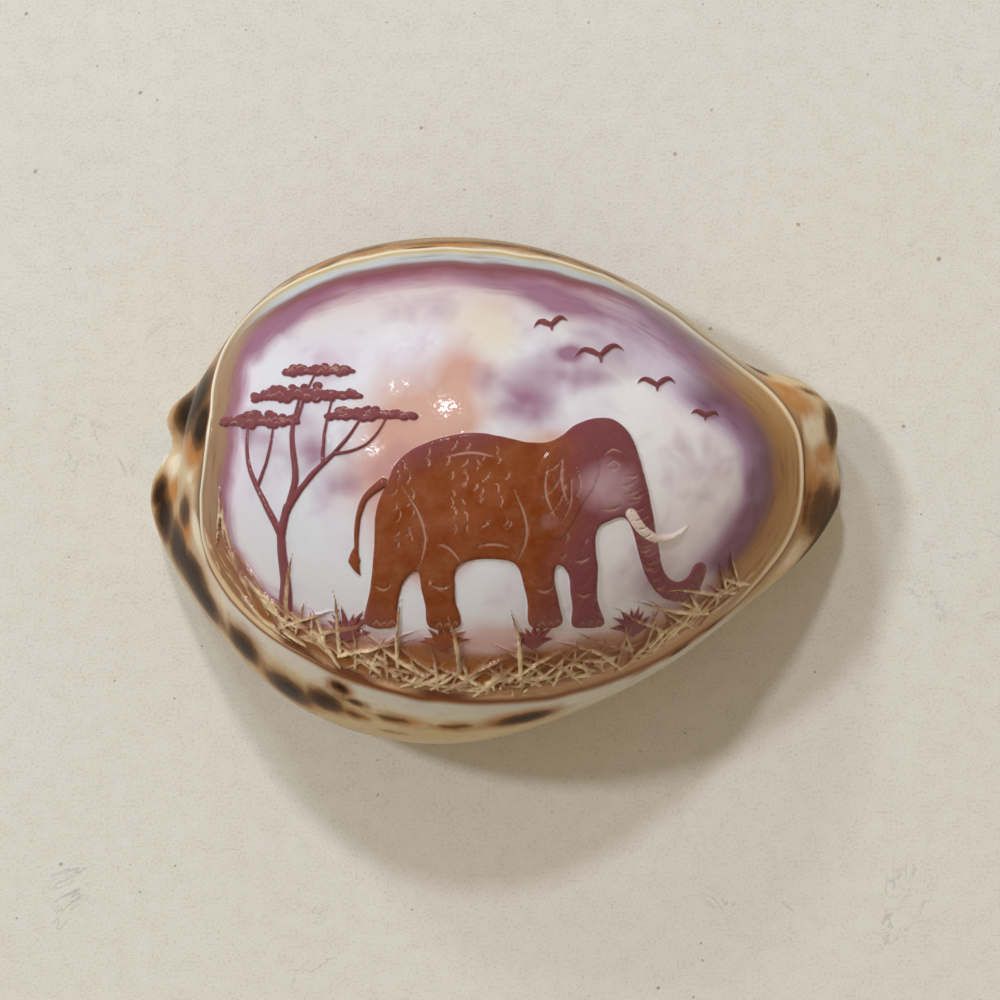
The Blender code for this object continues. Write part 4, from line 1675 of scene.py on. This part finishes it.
# On most sides the stops close to the window's edge paint a thin cream line, partly the glaze's cut
# edge and partly painted highlight along the ledge's lip, and a dark line just outside it, partly the
# brown layer and partly painted shade.
LAYERS: dict[Sector, Stops] = {
    Sector.RIGHT: layered(
        (-8, 214, 192, 152), (-1.5, 208, 182, 140), (-0.5, 168, 132, 92), (-0.16, 120, 84, 52),
        (-0.06, 214, 194, 162), (0.14, 216, 196, 164), (0.24, 170, 136, 92), (0.9, 172, 132, 84),
        (2.4, 160, 118, 70), (3.4, 138, 98, 60), (4.1, 108, 66, 68), (5, 100, 56, 74),
        (6.2, 112, 68, 98), (7.2, 164, 134, 162), (8.2, 198, 188, 204),
    ),
    Sector.UPPER_RIGHT: layered(
        (-8, 190, 170, 136), (-0.6, 186, 164, 128), (-0.2, 120, 96, 74), (-0.05, 204, 194, 172),
        (0.12, 206, 198, 180), (0.3, 160, 146, 146), (0.9, 138, 112, 122), (2.4, 140, 106, 128),
        (3.6, 166, 140, 160), (5.2, 194, 180, 198), (8, 204, 194, 210),
    ),
    Sector.TOP: layered(
        (-8, 160, 124, 80), (-2, 158, 120, 76), (-0.7, 166, 130, 88), (-0.3, 206, 186, 150),
        (-0.08, 226, 214, 190), (0.02, 228, 218, 196), (0.09, 172, 148, 100), (0.17, 188, 168, 122),
        (0.26, 180, 182, 178), (0.75, 178, 184, 188), (0.98, 156, 152, 158), (1.2, 128, 86, 90),
        (1.8, 122, 64, 76), (2.4, 142, 88, 104), (3.1, 180, 150, 158), (4.2, 200, 184, 184),
    ),
    Sector.LEFT: layered(
        (-8, 206, 184, 146), (-1.2, 200, 178, 140), (-0.4, 140, 106, 74), (-0.12, 112, 84, 60),
        (-0.05, 222, 212, 192), (0.08, 226, 218, 200), (0.18, 158, 130, 98), (1, 148, 118, 90),
        (1.8, 148, 116, 92), (2.3, 144, 102, 104), (2.9, 148, 102, 118), (3.5, 182, 154, 170),
        (4.2, 212, 206, 214),
    ),
    Sector.LOWER_LEFT: layered(
        (-8, 206, 182, 138), (-3.2, 210, 190, 150), (-1.8, 214, 206, 190), (-0.5, 210, 204, 194),
        (-0.3, 168, 128, 88), (-0.14, 116, 66, 34), (-0.02, 196, 170, 132), (0.2, 192, 166, 128),
        (0.4, 148, 112, 80), (1.6, 142, 102, 72), (2.6, 140, 92, 72), (3.4, 150, 106, 104),
        (4.1, 202, 188, 192), (5, 214, 210, 214),
    ),
    Sector.BOTTOM: layered(
        (-8, 204, 180, 136), (-3.4, 208, 188, 146), (-2.2, 212, 206, 188), (-0.8, 206, 202, 192),
        (-0.4, 164, 124, 86), (-0.2, 122, 68, 32), (0.02, 128, 76, 40), (0.2, 190, 152, 114),
        (0.9, 184, 142, 104), (1.3, 150, 100, 62), (2.6, 150, 98, 66), (3.8, 176, 132, 112),
        (5.2, 200, 178, 178), field_at=7.4,
    ),
}
LAYERS_FROM, LAYERS_TO = -8.0, 12.0


@dataclass(frozen=True)
class Grain:
    """The noises that break up the enamel's colours."""

    nodes: Nodes
    edge: Wire  # mm inside the window's edge
    soft: Wire
    broad: Wire
    fine: Wire
    streaks: Wire  # drawn out along the window's edge
    rim_streaks: Wire  # the same, close to the edge alone
    worn: Wire

    @classmethod
    def on(cls, nodes: Nodes) -> Grain:
        """Makes the noises.

        Args:
            nodes: the material's nodes.

        Returns:
            The noises as wires.
        """
        where, edge = nodes.place_mm(), nodes.measure("window_edge")
        long, wide = 6.0, 0.45  # mm, the size of a streak
        around = {1: nodes.measure("round_x") * (1 / long), 2: nodes.measure("round_y") * (1 / long)}
        streaks = nodes.noise(nodes.add(Node.JOIN, {}, {0: edge * (1 / wide), **around}), 1.0)
        return cls(
            nodes,
            edge,
            soft=nodes.noise(where, 3.4, detail=1.5, shift=0.4),
            broad=nodes.noise(where, 9.0, detail=1.0, shift=0.4),
            fine=nodes.noise(where, 0.8, detail=3.0),
            streaks=streaks,
            rim_streaks=streaks * edge.rising(6.0, 3.0),
            worn=nodes.noise(where, 1.6, shift=0.5),
        )


DEEP: Point = (2.4, 6.0)  # mm inside the window's edge
OUTSIDE: Point = (-0.1, -0.3)


@dataclass(frozen=True)
class Veil:
    """A colour laid over others where one of the mesh's measures is high."""

    measure: str  # empty where noise alone lays the colour
    colour: Colour
    strength: float = 1.0
    rise: Point = (0.0, 1.0)  # of the measure and its noise, from no colour to all of it
    inside: Point | None = None  # mm inside the window's edge, from no colour to all of it
    soft: float = 0.0
    broad: float = 0.0
    fine: float = 0.0
    rim_streaks: float = 0.0

    def over(self, base: Wire, grain: Grain) -> Wire:
        """Lays the colour over another.

        Args:
            base: the colour beneath.
            grain: the noises that break it up.

        Returns:
            The colour that is seen.
        """
        share = grain.nodes.measure(self.measure) if self.measure else 0.0
        for noise in ("soft", "broad", "fine", "rim_streaks"):
            if getattr(self, noise):
                share = share + getattr(grain, noise) * getattr(self, noise)
        share = share.rising(*self.rise)
        if self.inside:
            share = share * grain.edge.rising(*self.inside)
        return grain.nodes.mixed(share * self.strength, base, self.colour)


@dataclass(frozen=True)
class Enamel:
    """The shell's polished enamel, with its layers laid bare in the window."""

    roughness: float = 0.26
    smears: float = 0.12  # what smears and the grass add to the roughness
    specular: float = 0.015
    coat: float = 0.9
    coat_roughness: float = 0.13
    scuffed_coat: float = 0.4  # the share of the coat where the window's middle is scuffed
    coat_lost: Point = (0.5, 0.42)  # the share lost outside the window, and more on marks
    ripple: float = 0.06
    over_layers: tuple[Veil, ...] = (
        # Painted light: the field is painted lighter towards the front end, which the lamps reach less.
        Veil("lee", seen(240, 234, 236), 0.8, inside=(7.0, 9.5)),
        # Painted shade: the field is painted darker towards the hind end, where the lamps shine most.
        Veil("lit", seen(196, 200, 204), 0.5, inside=(3.6, 6.0)),
        Veil("", seen(192, 172, 194), 0.4, (-0.25, 0.75), DEEP, soft=0.8, broad=2.6),
        Veil("peach", seen(190, 136, 116), 0.85, (0.05, 0.85), DEEP, soft=0.3, broad=0.3),
        Veil("cream", seen(210, 196, 168), 0.7, (0.1, 1.0), DEEP, soft=0.3),
        Veil("mauve", seen(140, 92, 118), 0.9, (0.06, 0.9), (1.4, 2.6), 0.7, 0.3, rim_streaks=0.5),
        Veil("earth", seen(142, 86, 36), 0.9, (0.15, 0.8), (0.3, 0.9), soft=0.5, fine=0.3),
        Veil("ember", seen(92, 38, 16), 0.92, (0.2, 0.7), (-0.1, 0.1), soft=0.4, fine=0.3),
    )
    over_figures: tuple[Veil, ...] = (
        Veil("pale", seen(172, 138, 144), 1.0, (0.25, 0.95), soft=0.6),
        Veil("cut", seen(196, 156, 138), 0.75),
    )
    over_skin: tuple[Veil, ...] = (
        Veil("white", seen(226, 212, 186), 0.9, (0.05, 0.7), OUTSIDE),
        Veil("halo", seen(160, 110, 58), 0.75, (0.1, 0.9), OUTSIDE, soft=0.3, fine=0.2),
        Veil("amber", seen(184, 122, 58), 0.9, (0.05, 0.8), OUTSIDE, soft=0.3),
        Veil("dark", seen(112, 74, 38), 0.85, (0.02, 0.5), OUTSIDE, soft=0.35, fine=0.25),
        Veil("dark", seen(44, 25, 10), 1.0, (0.3, 1.0), OUTSIDE, soft=0.35, fine=0.25),
        Veil("across", seen(226, 216, 196), 0.9, (0.72, 0.8), soft=0.05),
        Veil("inner_face", seen(206, 192, 204)),
    )
    figure_warm: Colour = seen(118, 54, 18)
    figure_warm_pale: Colour = seen(140, 84, 54)
    figure_mauve: Colour = seen(122, 68, 72)
    tusk: Veil = Veil("tusk", seen(214, 196, 186), rise=(-0.06, 0.06))
    blade_tan: Colour = seen(220, 198, 158)
    blade_tip: Colour = seen(146, 102, 76)
    streak: Colour = seen(112, 78, 46)

    def dress(self, shell: bpy.types.Object) -> None:
        """Makes the finish and gives it to the shell.

        Args:
            shell: the shell's object, whose mesh carries the measures.
        """
        nodes = Nodes.of_new("shell_enamel")
        sockets = {
            "Base Color": self.colour(Grain.on(nodes)), "Roughness": self.gloss(nodes),
            "Coat Weight": self.polish(nodes), "Coat Roughness": self.coat_roughness,
            "Normal": self.relief(nodes), "Specular IOR Level": self.specular,
        }
        nodes.surface(sockets)
        shell.data.materials.clear()
        shell.data.materials.append(nodes.material)

    def ground(self, grain: Grain) -> Wire:
        """Works out the colour of the layers round and in the window.

        Args:
            grain: the noises.

        Returns:
            The colour.
        """
        nodes, edge = grain.nodes, grain.edge
        depth = nodes.measure("layer_depth")
        waves = grain.soft * 1.1 + grain.broad * 1.3 + grain.streaks * 0.6
        wavy = depth + depth.rising(0.7, 2.4) * waves
        ground = nodes.ramp(wavy, LAYERS[Sector.RIGHT], LAYERS_FROM, LAYERS_TO)
        for sector in OTHER_SECTORS:
            layers = nodes.ramp(wavy, LAYERS[sector], LAYERS_FROM, LAYERS_TO)
            ground = nodes.mixed(nodes.measure(sector.share_name()), ground, layers)
        for veil in self.over_layers:
            ground = veil.over(ground, grain)
        band = edge.rising(0.2, 0.4) * edge.rising(5.0, 3.0)
        return nodes.mixed(grain.streaks.rising(0.02, 0.26) * band * 0.5, ground, self.streak)

    def figures(self, grain: Grain) -> Wire:
        """Works out the colour of the figures that stand in relief.

        Args:
            grain: the noises.

        Returns:
            The colour.
        """
        nodes, soft = grain.nodes, grain.soft
        worn = (grain.fine * 0.6 + soft * 1.4 + 0.35).clamped()
        browns = nodes.mixed(worn, self.figure_warm, self.figure_warm_pale)
        warm = (nodes.measure("warm") + grain.broad * 0.5 + soft * 0.3).rising(0.25, 0.8)
        figure = nodes.mixed(warm, self.figure_mauve, browns)
        for veil in self.over_figures:
            figure = veil.over(figure, grain)
        return figure

    def colour(self, grain: Grain) -> Wire:
        """Works out the colour.

        Args:
            grain: the noises.

        Returns:
            The base colour.
        """
        nodes = grain.nodes
        on_figure = nodes.measure("figure").rising(-0.07, 0.05)
        colour = nodes.mixed(on_figure, self.ground(grain), self.figures(grain))
        colour = self.tusk.over(colour, grain)
        high = (nodes.measure("blade_top") + grain.worn * 0.9 + grain.fine * 0.3).rising(0.3, 0.95)
        blade = nodes.mixed(high, self.blade_tip, self.blade_tan)
        colour = nodes.mixed(nodes.measure("blade").rising(0.35, 0.7), colour, blade)
        streaks = (grain.streaks + grain.fine * 0.4).rising(-0.08, 0.2) * nodes.measure("top_rim")
        colour = nodes.mixed(streaks * grain.edge.rising(*OUTSIDE) * 0.75, colour, self.streak)
        for veil in self.over_skin:
            colour = veil.over(colour, grain)
        return colour

    def gloss(self, nodes: Nodes) -> Wire:
        """Works out the roughness, which smears and the grass raise."""
        smears = nodes.noise(nodes.place_mm(), 2.4, detail=3.0) + nodes.measure("blade")
        return smears * self.smears + self.roughness

    def polish(self, nodes: Nodes) -> Wire:
        """Works out the coat, weaker outside the window and on marks, scuffed in its middle.

        Args:
            nodes: the material's nodes.

        Returns:
            The weight of the coat.
        """
        edge, where = nodes.measure("window_edge"), nodes.place_mm()
        marks = (nodes.measure("dark") + nodes.measure("amber") * 0.6).rising(0.05, 0.5)
        lost, more_lost = self.coat_lost
        kept = 1 - edge.rising(0.1, -0.3) * (marks * more_lost + lost)
        pits = nodes.noise(where, 0.42) + nodes.noise(where, 1.7) * 0.7
        unscuffed = (pits.rising(-0.02, 0.22) - self.scuffed_coat) * edge.rising(5.0, 10.0)
        return kept * (unscuffed + self.scuffed_coat) * self.coat

    def relief(self, nodes: Nodes) -> Wire:
        """Works out the faint tool marks left in the polish, as a normal."""
        where = nodes.place_mm()
        return nodes.bump(nodes.noise(where, 1.3) + nodes.noise(where, 0.28) * 0.12, self.ripple)


def put(name: str, data: bpy.types.ID) -> bpy.types.Object:
    """Puts an object in the scene.

    Args:
        name: the object's name.
        data: its mesh, light or camera.

    Returns:
        The object.
    """
    made = bpy.data.objects.new(name, data)
    bpy.context.collection.objects.link(made)
    return made


@dataclass
class CarvedShell:
    """The whole shell as one closed mesh that is finer where the carving is."""

    form: ShellForm = field(default_factory=ShellForm)
    window: Window = field(default_factory=Window)
    markings: Markings = field(default_factory=Markings)
    finish: Enamel = field(default_factory=Enamel)
    cells_along: int = 44
    cells_round: int = 140
    end_band: float = 3.2  # whose cells are cut along the shell alone
    lip_band: float = 9.0  # from a lip's edge, where the inner face is cut once too
    tooth_band: float = 6.5  # from a lip's edge, where the outer face is cut twice
    window_margin: float = 2.0  # round the window, which is cut twice too
    fine_cuts: Line = ((0.6, 0.7), (0.14, 0.22))  # reach from lines and from the ledge
    ledge_middle: float = 0.1  # inside the window's edge
    carved_margin: float = 0.5  # round the window, which the carving may reach
    carved_from: Point = (0.0, 0.5)  # inside the window's edge, where the relief comes in
    sew_within: float = 0.000004  # m
    roundness: float = 0.76  # the window's width over its length
    round_reach: float = 33.0  # of the measures that run round the window
    front_painted_light_span: Point = (2.0, 26.0)  # from the window's middle to the front end, over which the field is painted lighter: painted light where the lamps reach less
    hind_painted_shade_span: Point = (4.0, 28.0)  # and to the hind end, over which the field is painted darker: painted shade where the lamps shine most
    top_rim: tuple[float, float, float, float] = (52.0, 70.0, 140.0, 158.0)  # degrees round it
    inner_from: Point = (2.0, 6.0)  # from the ends, where the inner face's colour comes in
    halo: float = 1.6  # how much larger than the dark marks their halos are
    pace: Line = (
        (0, 1), (30, 1), (45, 1.3), (62, 1.6), (75, 1.2), (95, 1), (150, 1), (180, 1.05),
        (215, 1.1), (235, 1), (270, 1), (300, 1.1), (322, 1.2), (345, 1), (360, 1),
    )  # degrees round the window, and how much faster than usual the layers follow each other

    def __post_init__(self) -> None:
        """Draws the carving on this shell's window."""
        self.carving = Carving(self.window, self.form)

    def window_depth(self, skin: Skin) -> tuple[Array, Array]:
        """Measures points against the window.

        Args:
            skin: what is known of each point.

        Returns:
            How far inside the window's edge each point lies, and whether it is on the back.
        """
        edge = np.full(len(skin.far), -FAR_AWAY)
        back = ~skin.inside & (skin.far < self.form.margin_at)
        edge[back] = self.window.depth_inside(skin.points[back, :2])
        return edge, back

    def wanted(self, level: int, centres: Array) -> Array:
        """Tells which faces of the flat sheet are cut in four.

        Args:
            level: how often the sheet has been cut.
            centres: the middle of each face on the flat sheet.

        Returns:
            True for each face that is cut.
        """
        skin = self.form.skin(centres)
        free = self.form.from_end(skin.place) > self.end_band
        if level == 0:
            return free & (~skin.inside | (skin.far > 1 - self.lip_band / self.form.across))
        edge, _ = self.window_depth(skin)
        if level == 1:
            teeth = ~skin.inside & (skin.far > 1 - self.tooth_band / self.form.across)
            return free & ((edge > -self.window_margin) | teeth)
        reach, rim = self.fine_cuts[level - 2]
        rows = np.nonzero(free & (edge > -self.carved_margin))[0]
        fine = np.zeros(len(centres), bool)
        fine[rows] = self.carving.is_fine(self.form.plan(skin.points[rows]), reach)
        return fine | (free & (np.abs(edge - self.ledge_middle) < rim))

    def sheet(self) -> bmesh.types.BMesh:
        """Makes the flat sheet, cut finer where it needs to be.

        Returns:
            The sheet.
        """
        sheet = bmesh.new()
        bmesh.ops.create_grid(
            sheet, x_segments=self.cells_along, y_segments=self.cells_round, size=1
        )
        for level in range(2 + len(self.fine_cuts)):
            centres = np.array([face.calc_center_median()[:2] for face in sheet.faces])
            cut = self.wanted(level, centres)
            edges = {edge for face, wanted in zip(sheet.faces, cut) if wanted for edge in face.edges}
            bmesh.ops.subdivide_edges(sheet, edges=list(edges), cuts=1, use_grid_fill=True)
            if level < 2:
                self.cut_ends(sheet)
            log.info("sheet cut %d: %d faces", level, len(sheet.faces))
        return sheet

    def cut_ends(self, sheet: bmesh.types.BMesh) -> None:
        """Cuts the cells at both ends along the shell, the same on both faces.

        Args:
            sheet: the flat sheet.
        """
        reach = 1 - 2 * self.end_band / self.form.length()
        edges = []
        for edge in sheet.edges:
            a, b = edge.verts[0].co, edge.verts[1].co
            along = abs(a.x - b.x) > abs(a.y - b.y) * 4
            if along and max(abs(a.x), abs(b.x)) > reach:
                edges.append(edge)
        bmesh.ops.subdivide_edges(sheet, edges=edges, cuts=1, use_grid_fill=True)

    def build(self) -> bpy.types.Object:
        """Wraps, carves and sews the sheet.

        Returns:
            The shell's object, with its measures on its mesh.
        """
        sheet = self.sheet()
        flat = np.array([vertex.co[:2] for vertex in sheet.verts])
        skin = self.form.skin(flat)
        edge, back = self.window_depth(skin)
        plan = self.form.plan(skin.points)
        depth = self.window.ground(edge)
        carved = back & (edge > -self.carved_margin)
        relief = self.carving.measure(plan[carved], depth[carved])
        within = smoothstep(*self.carved_from, edge[carved])
        depth[carved] -= relief.lift * within
        depth[carved] += self.unevenness(plan[carved]) * within
        points = self.form.finished(skin, skin.points + skin.inward * depth[:, None])
        low, high = (np.array(corner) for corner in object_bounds())
        points = np.clip(points, low, high)

        measures = self.measures(skin, plan, edge, points / MM)
        for name, values, nothing in (
            ("figure", relief.figure, -FAR_AWAY),
            ("tusk", relief.tusk, -FAR_AWAY),
            ("cut", relief.cut, 0.0),
            ("blade", relief.blade * within, 0.0),
            ("blade_top", relief.blade_top, 0.0),
        ):
            measures[name] = np.full(len(flat), nothing)
            measures[name][carved] = values

        mesh = self.sewn(sheet, points)
        self.keep(mesh, measures)
        return put("carved_shell", mesh)

    def sewn(self, sheet: bmesh.types.BMesh, points: Array) -> bpy.types.Mesh:
        """Wraps the flat sheet and sews its edges together.

        Args:
            sheet: the flat sheet.
            points: where each of its points goes.

        Returns:
            The closed mesh, whose points know their first row.
        """
        first = sheet.verts.layers.int.new("first_row")
        for row, (vertex, point) in enumerate(zip(sheet.verts, points)):
            vertex.co = point
            vertex[first] = row
        bmesh.ops.remove_doubles(sheet, verts=sheet.verts, dist=self.sew_within)
        bmesh.ops.recalc_face_normals(sheet, faces=sheet.faces)
        bmesh.ops.triangulate(sheet, faces=sheet.faces, quad_method="SHORT_EDGE")
        flaps = [
            point for point in sheet.verts
            if len(point.link_faces) == 2 and len(point.link_edges) == 2
        ]
        bmesh.ops.delete(sheet, geom=flaps, context="VERTS")
        open_edges = sum(1 for edge in sheet.edges if not edge.is_manifold)
        log.info("carved_shell: %d triangles, %d open edges", len(sheet.faces), open_edges)
        mesh = bpy.data.meshes.new("carved_shell")
        sheet.to_mesh(mesh)
        sheet.free()
        mesh.shade_smooth()
        return mesh

    @staticmethod
    def unevenness(plan: Array) -> Array:
        """Gives the slight waviness that hand grinding leaves."""
        x, y = plan[:, 0], plan[:, 1]
        wave = np.sin(x * 0.61 + 1.3 * np.sin(y * 0.37)) + np.sin(y * 0.83 + 0.9 * np.sin(x * 0.43))
        return 0.012 * wave + 0.006 * np.sin(x * 1.9 + y * 1.3)

    def measures(self, skin: Skin, plan: Array, edge: Array, points: Array) -> dict[str, Array]:
        """Works out the measures that the finish reads.

        Args:
            skin: what is known of each point.
            plan: the points in plan.
            edge: how far inside the window's edge they lie.
            points: the finished points, in mm.

        Returns:
            One number for each point, by the measure's name.
        """
        marks, outer = self.markings, ~skin.inside
        way = (plan - np.array(self.window.middle)) * (self.roundness, 1.0)
        turn = np.degrees(np.arctan2(way[:, 1], way[:, 0])) % 360
        round_x, round_y = (unit(way) * self.round_reach).T
        measures = {
            "window_edge": edge,
            "layer_depth": edge * self.stretch(turn, edge),
            "round_x": round_x,
            "round_y": round_y,
            "across": skin.far,
            # Painted light towards the front end and painted shade towards the hind end of the field.
            "lee": smoothstep(*self.front_painted_light_span, plan[:, 0]),
            "lit": smoothstep(*self.hind_painted_shade_span, -plan[:, 0]),
        }
        for name in ("mauve", "peach", "warm", "pale", "cream", "earth", "ember"):
            measures[name] = marks.clouds(getattr(marks, name), plan)

        upper = outer & (skin.far < self.form.margin_at)
        from_above, seen_at = points[upper], PictureCamera().on_floor(points[upper])
        spots = {
            name: [patch.settled(from_above, seen_at) for patch in getattr(marks, name)]
            for name in ("dark", "amber", "white")
        }
        spots["dark"] += marks.flank_spots(self.form)
        for name, stains in spots.items():
            measures[name] = marks.stain(stains, points) * outer
        measures["halo"] = marks.stain(spots["dark"], points, self.halo) * outer

        inner = smoothstep(0.0, 0.02, (1 - skin.far) * skin.inside)
        from_end = self.form.from_end(skin.place)
        measures["inner_face"] = inner * smoothstep(*self.inner_from, from_end)
        begin, full, wane, end = self.top_rim
        measures["top_rim"] = smoothstep(begin, full, turn) * (1 - smoothstep(wane, end, turn))
        blend = SECTOR_BLEND
        last = smoothstep(-blend, blend, turn - Sector.RIGHT.value)
        for sector in OTHER_SECTORS:
            begun = smoothstep(-blend, blend, turn - sector.value)
            measures[sector.share_name()] = begun * (1 - last)
        return measures

    def stretch(self, turn: Array, edge: Array) -> Array:
        """Gives the layers' pace at each point, by its turn round the window, 1 outside it."""
        degrees, much = zip(*self.pace)
        return np.where(edge > 0, np.interp(turn, degrees, much), 1.0)

    @staticmethod
    def keep(mesh: bpy.types.Mesh, measures: dict[str, Array]) -> None:
        """Writes the measures on the mesh.

        Args:
            mesh: the sewn mesh, whose points know their first row.
            measures: one number for each first row, by name.
        """
        rows = np.zeros(len(mesh.vertices), np.int32)
        mesh.attributes["first_row"].data.foreach_get("value", rows)
        for name, values in measures.items():
            layer = mesh.attributes.new(name, "FLOAT", "POINT")
            layer.data.foreach_set("value", values[rows].astype(np.float32))
        mesh.attributes.remove(mesh.attributes["first_row"])

    def dress(self, shell: bpy.types.Object) -> None:
        """Gives the shell its finish and its place in the model.

        Args:
            shell: the shell's object.
        """
        self.finish.dress(shell)
        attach(shell, "root")
        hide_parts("shell")


@dataclass(frozen=True)
class StoneTop:
    """The pale honed stone that the shell lies on."""

    half_size: float = 1.2  # m
    colour: Colour = seen(216, 213, 203)
    dull: Colour = seen(209, 205, 194)
    pit: Colour = seen(178, 172, 160)
    vein: Colour = seen(152, 147, 138)
    fleck: Colour = seen(120, 110, 98)
    roughness: float = 0.7

    def build(self) -> bpy.types.Object:
        """Makes the floor.

        Returns:
            The floor's object.
        """
        slab = bmesh.new()
        bmesh.ops.create_grid(slab, x_segments=2, y_segments=2, size=self.half_size)
        mesh = bpy.data.meshes.new("stone_top")
        slab.to_mesh(mesh)
        slab.free()
        floor = put("stone_top", mesh)
        floor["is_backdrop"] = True
        return floor

    def dress(self, floor: bpy.types.Object) -> None:
        """Gives the floor its stone finish.

        Args:
            floor: the floor's object.
        """
        nodes = Nodes.of_new("pale_stone")
        where = nodes.place_mm()
        cloud, mottle = nodes.noise(where, 24.0), nodes.noise(where, 2.4)
        grain = nodes.noise(where, 0.36, rough=0.6)
        colour = nodes.mixed((cloud * 0.7 + mottle * 0.9 + 0.4).clamped(), self.colour, self.dull)
        pits = (grain + mottle * 0.25).rising(0.02, 0.26)
        colour = nodes.mixed(pits * 0.5, colour, self.pit)
        crease = nodes.noise(where, 19.0, detail=6.0, rough=0.62, shift=1.6)
        width = nodes.noise(where, 5.0).rising(-0.1, 0.3) * 0.02 + 0.003
        off_crease = nodes.math("DIVIDE", nodes.math("ABSOLUTE", crease, 0.0), width)
        broken = nodes.noise(where, 21.0, detail=3.0, shift=0.6).rising(0.10, 0.2)
        colour = nodes.mixed((1 - off_crease).clamped() * broken * 0.6, colour, self.vein)
        specks = nodes.noise(where, 1.1, detail=0.0).rising(0.36, 0.38)
        colour = nodes.mixed(specks * 0.6, colour, self.fleck)
        bumps = nodes.bump(grain, 0.22)
        nodes.surface({"Base Color": colour, "Normal": bumps, "Roughness": self.roughness})
        floor.data.materials.append(nodes.material)


@dataclass(frozen=True)
class Lamp:
    """A round soft lamp: the direction it stands in, its power and its size."""

    name: str
    direction: Place
    power: float
    diameter: float
    distance: float = 1.5
    tint: tuple[float, float, float] = (1.0, 0.97, 0.92)

    def hang(self) -> None:
        """Hangs the lamp so that it faces the shell."""
        data = bpy.data.lights.new(self.name, "AREA")
        data.shape = "DISK"
        data.size = self.diameter
        data.energy = self.power
        data.color = self.tint
        lamp = put(self.name, data)
        away = np.array(self.direction) / np.linalg.norm(self.direction)
        lamp.location = away * self.distance
        x, y, z = away
        lamp.rotation_euler = (math.acos(z), 0.0, math.atan2(y, x) + math.pi / 2)


@dataclass(frozen=True)
class Studio:
    """Plain soft studio light: three small lamps, a wide low one and an even warm fill."""

    lamps: tuple[Lamp, ...] = (
        Lamp("key_lamp", (-0.13, 0.74, 1.0), 6.2, 0.115, tint=(0.88, 0.88, 1.0)),
        Lamp("left_lamp", (-0.70, 0.31, 1.0), 7.4, 0.13, tint=(0.84, 0.90, 1.0)),
        Lamp("low_lamp", (-0.55, 1.13, 1.0), 3.3, 0.16, tint=(0.72, 0.95, 1.0)),
        Lamp("window_lamp", (-0.25, 1.0, 0.22), 1.2, 0.5, tint=(0.95, 0.97, 1.0)),
    )
    fill_tint: Colour = (0.414, 0.351, 0.270, 1.0)

    def light(self) -> None:
        """Hangs the lamps and sets the even fill."""
        for lamp in self.lamps:
            lamp.hang()
        world = bpy.data.worlds.new("studio")
        world.use_nodes = True
        sky = world.node_tree.nodes["Background"]
        sky.inputs["Color"].default_value = self.fill_tint
        sky.inputs["Strength"].default_value = 1.0
        bpy.context.scene.world = world
        bpy.context.scene.view_settings.view_transform = "Standard"


@dataclass(frozen=True)
class PictureCamera:
    """Looks straight down on the shell, as the photograph does."""

    middle: Point = (0.55, -1.05)
    height: float = 400.0
    lens: float = 114.9
    film_width: float = 36.0

    def on_floor(self, points: Array) -> Array:
        """Gives where points are seen, as mm on the floor from the middle of the view."""
        nearer = self.height / (self.height - points[:, 2:])
        return (points[:, :2] - np.array(self.middle)) * nearer

    def place(self) -> None:
        """Makes the camera and looks through it."""
        data = bpy.data.cameras.new("picture_camera")
        data.lens = self.lens
        data.sensor_width = self.film_width
        data.clip_start = 0.01
        camera = put("picture_camera", data)
        camera.location = (self.middle[0] * MM, self.middle[1] * MM, self.height * MM)
        bpy.context.scene.camera = camera


def main() -> None:
    """Builds the classes in order and reports each piece."""
    logging.basicConfig(level=logging.INFO, format="%(name)s: %(message)s")
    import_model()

    PictureCamera().place()
    log.info("picture_camera placed")
    Studio().light()
    log.info("studio light hung")
    stone = StoneTop()
    stone.dress(stone.build())
    log.info("stone_top laid")
    cowrie = CarvedShell()
    shell = cowrie.build()
    cowrie.dress(shell)
    log.info("carved_shell carved and dressed")


if __name__ == "__main__":
    main()
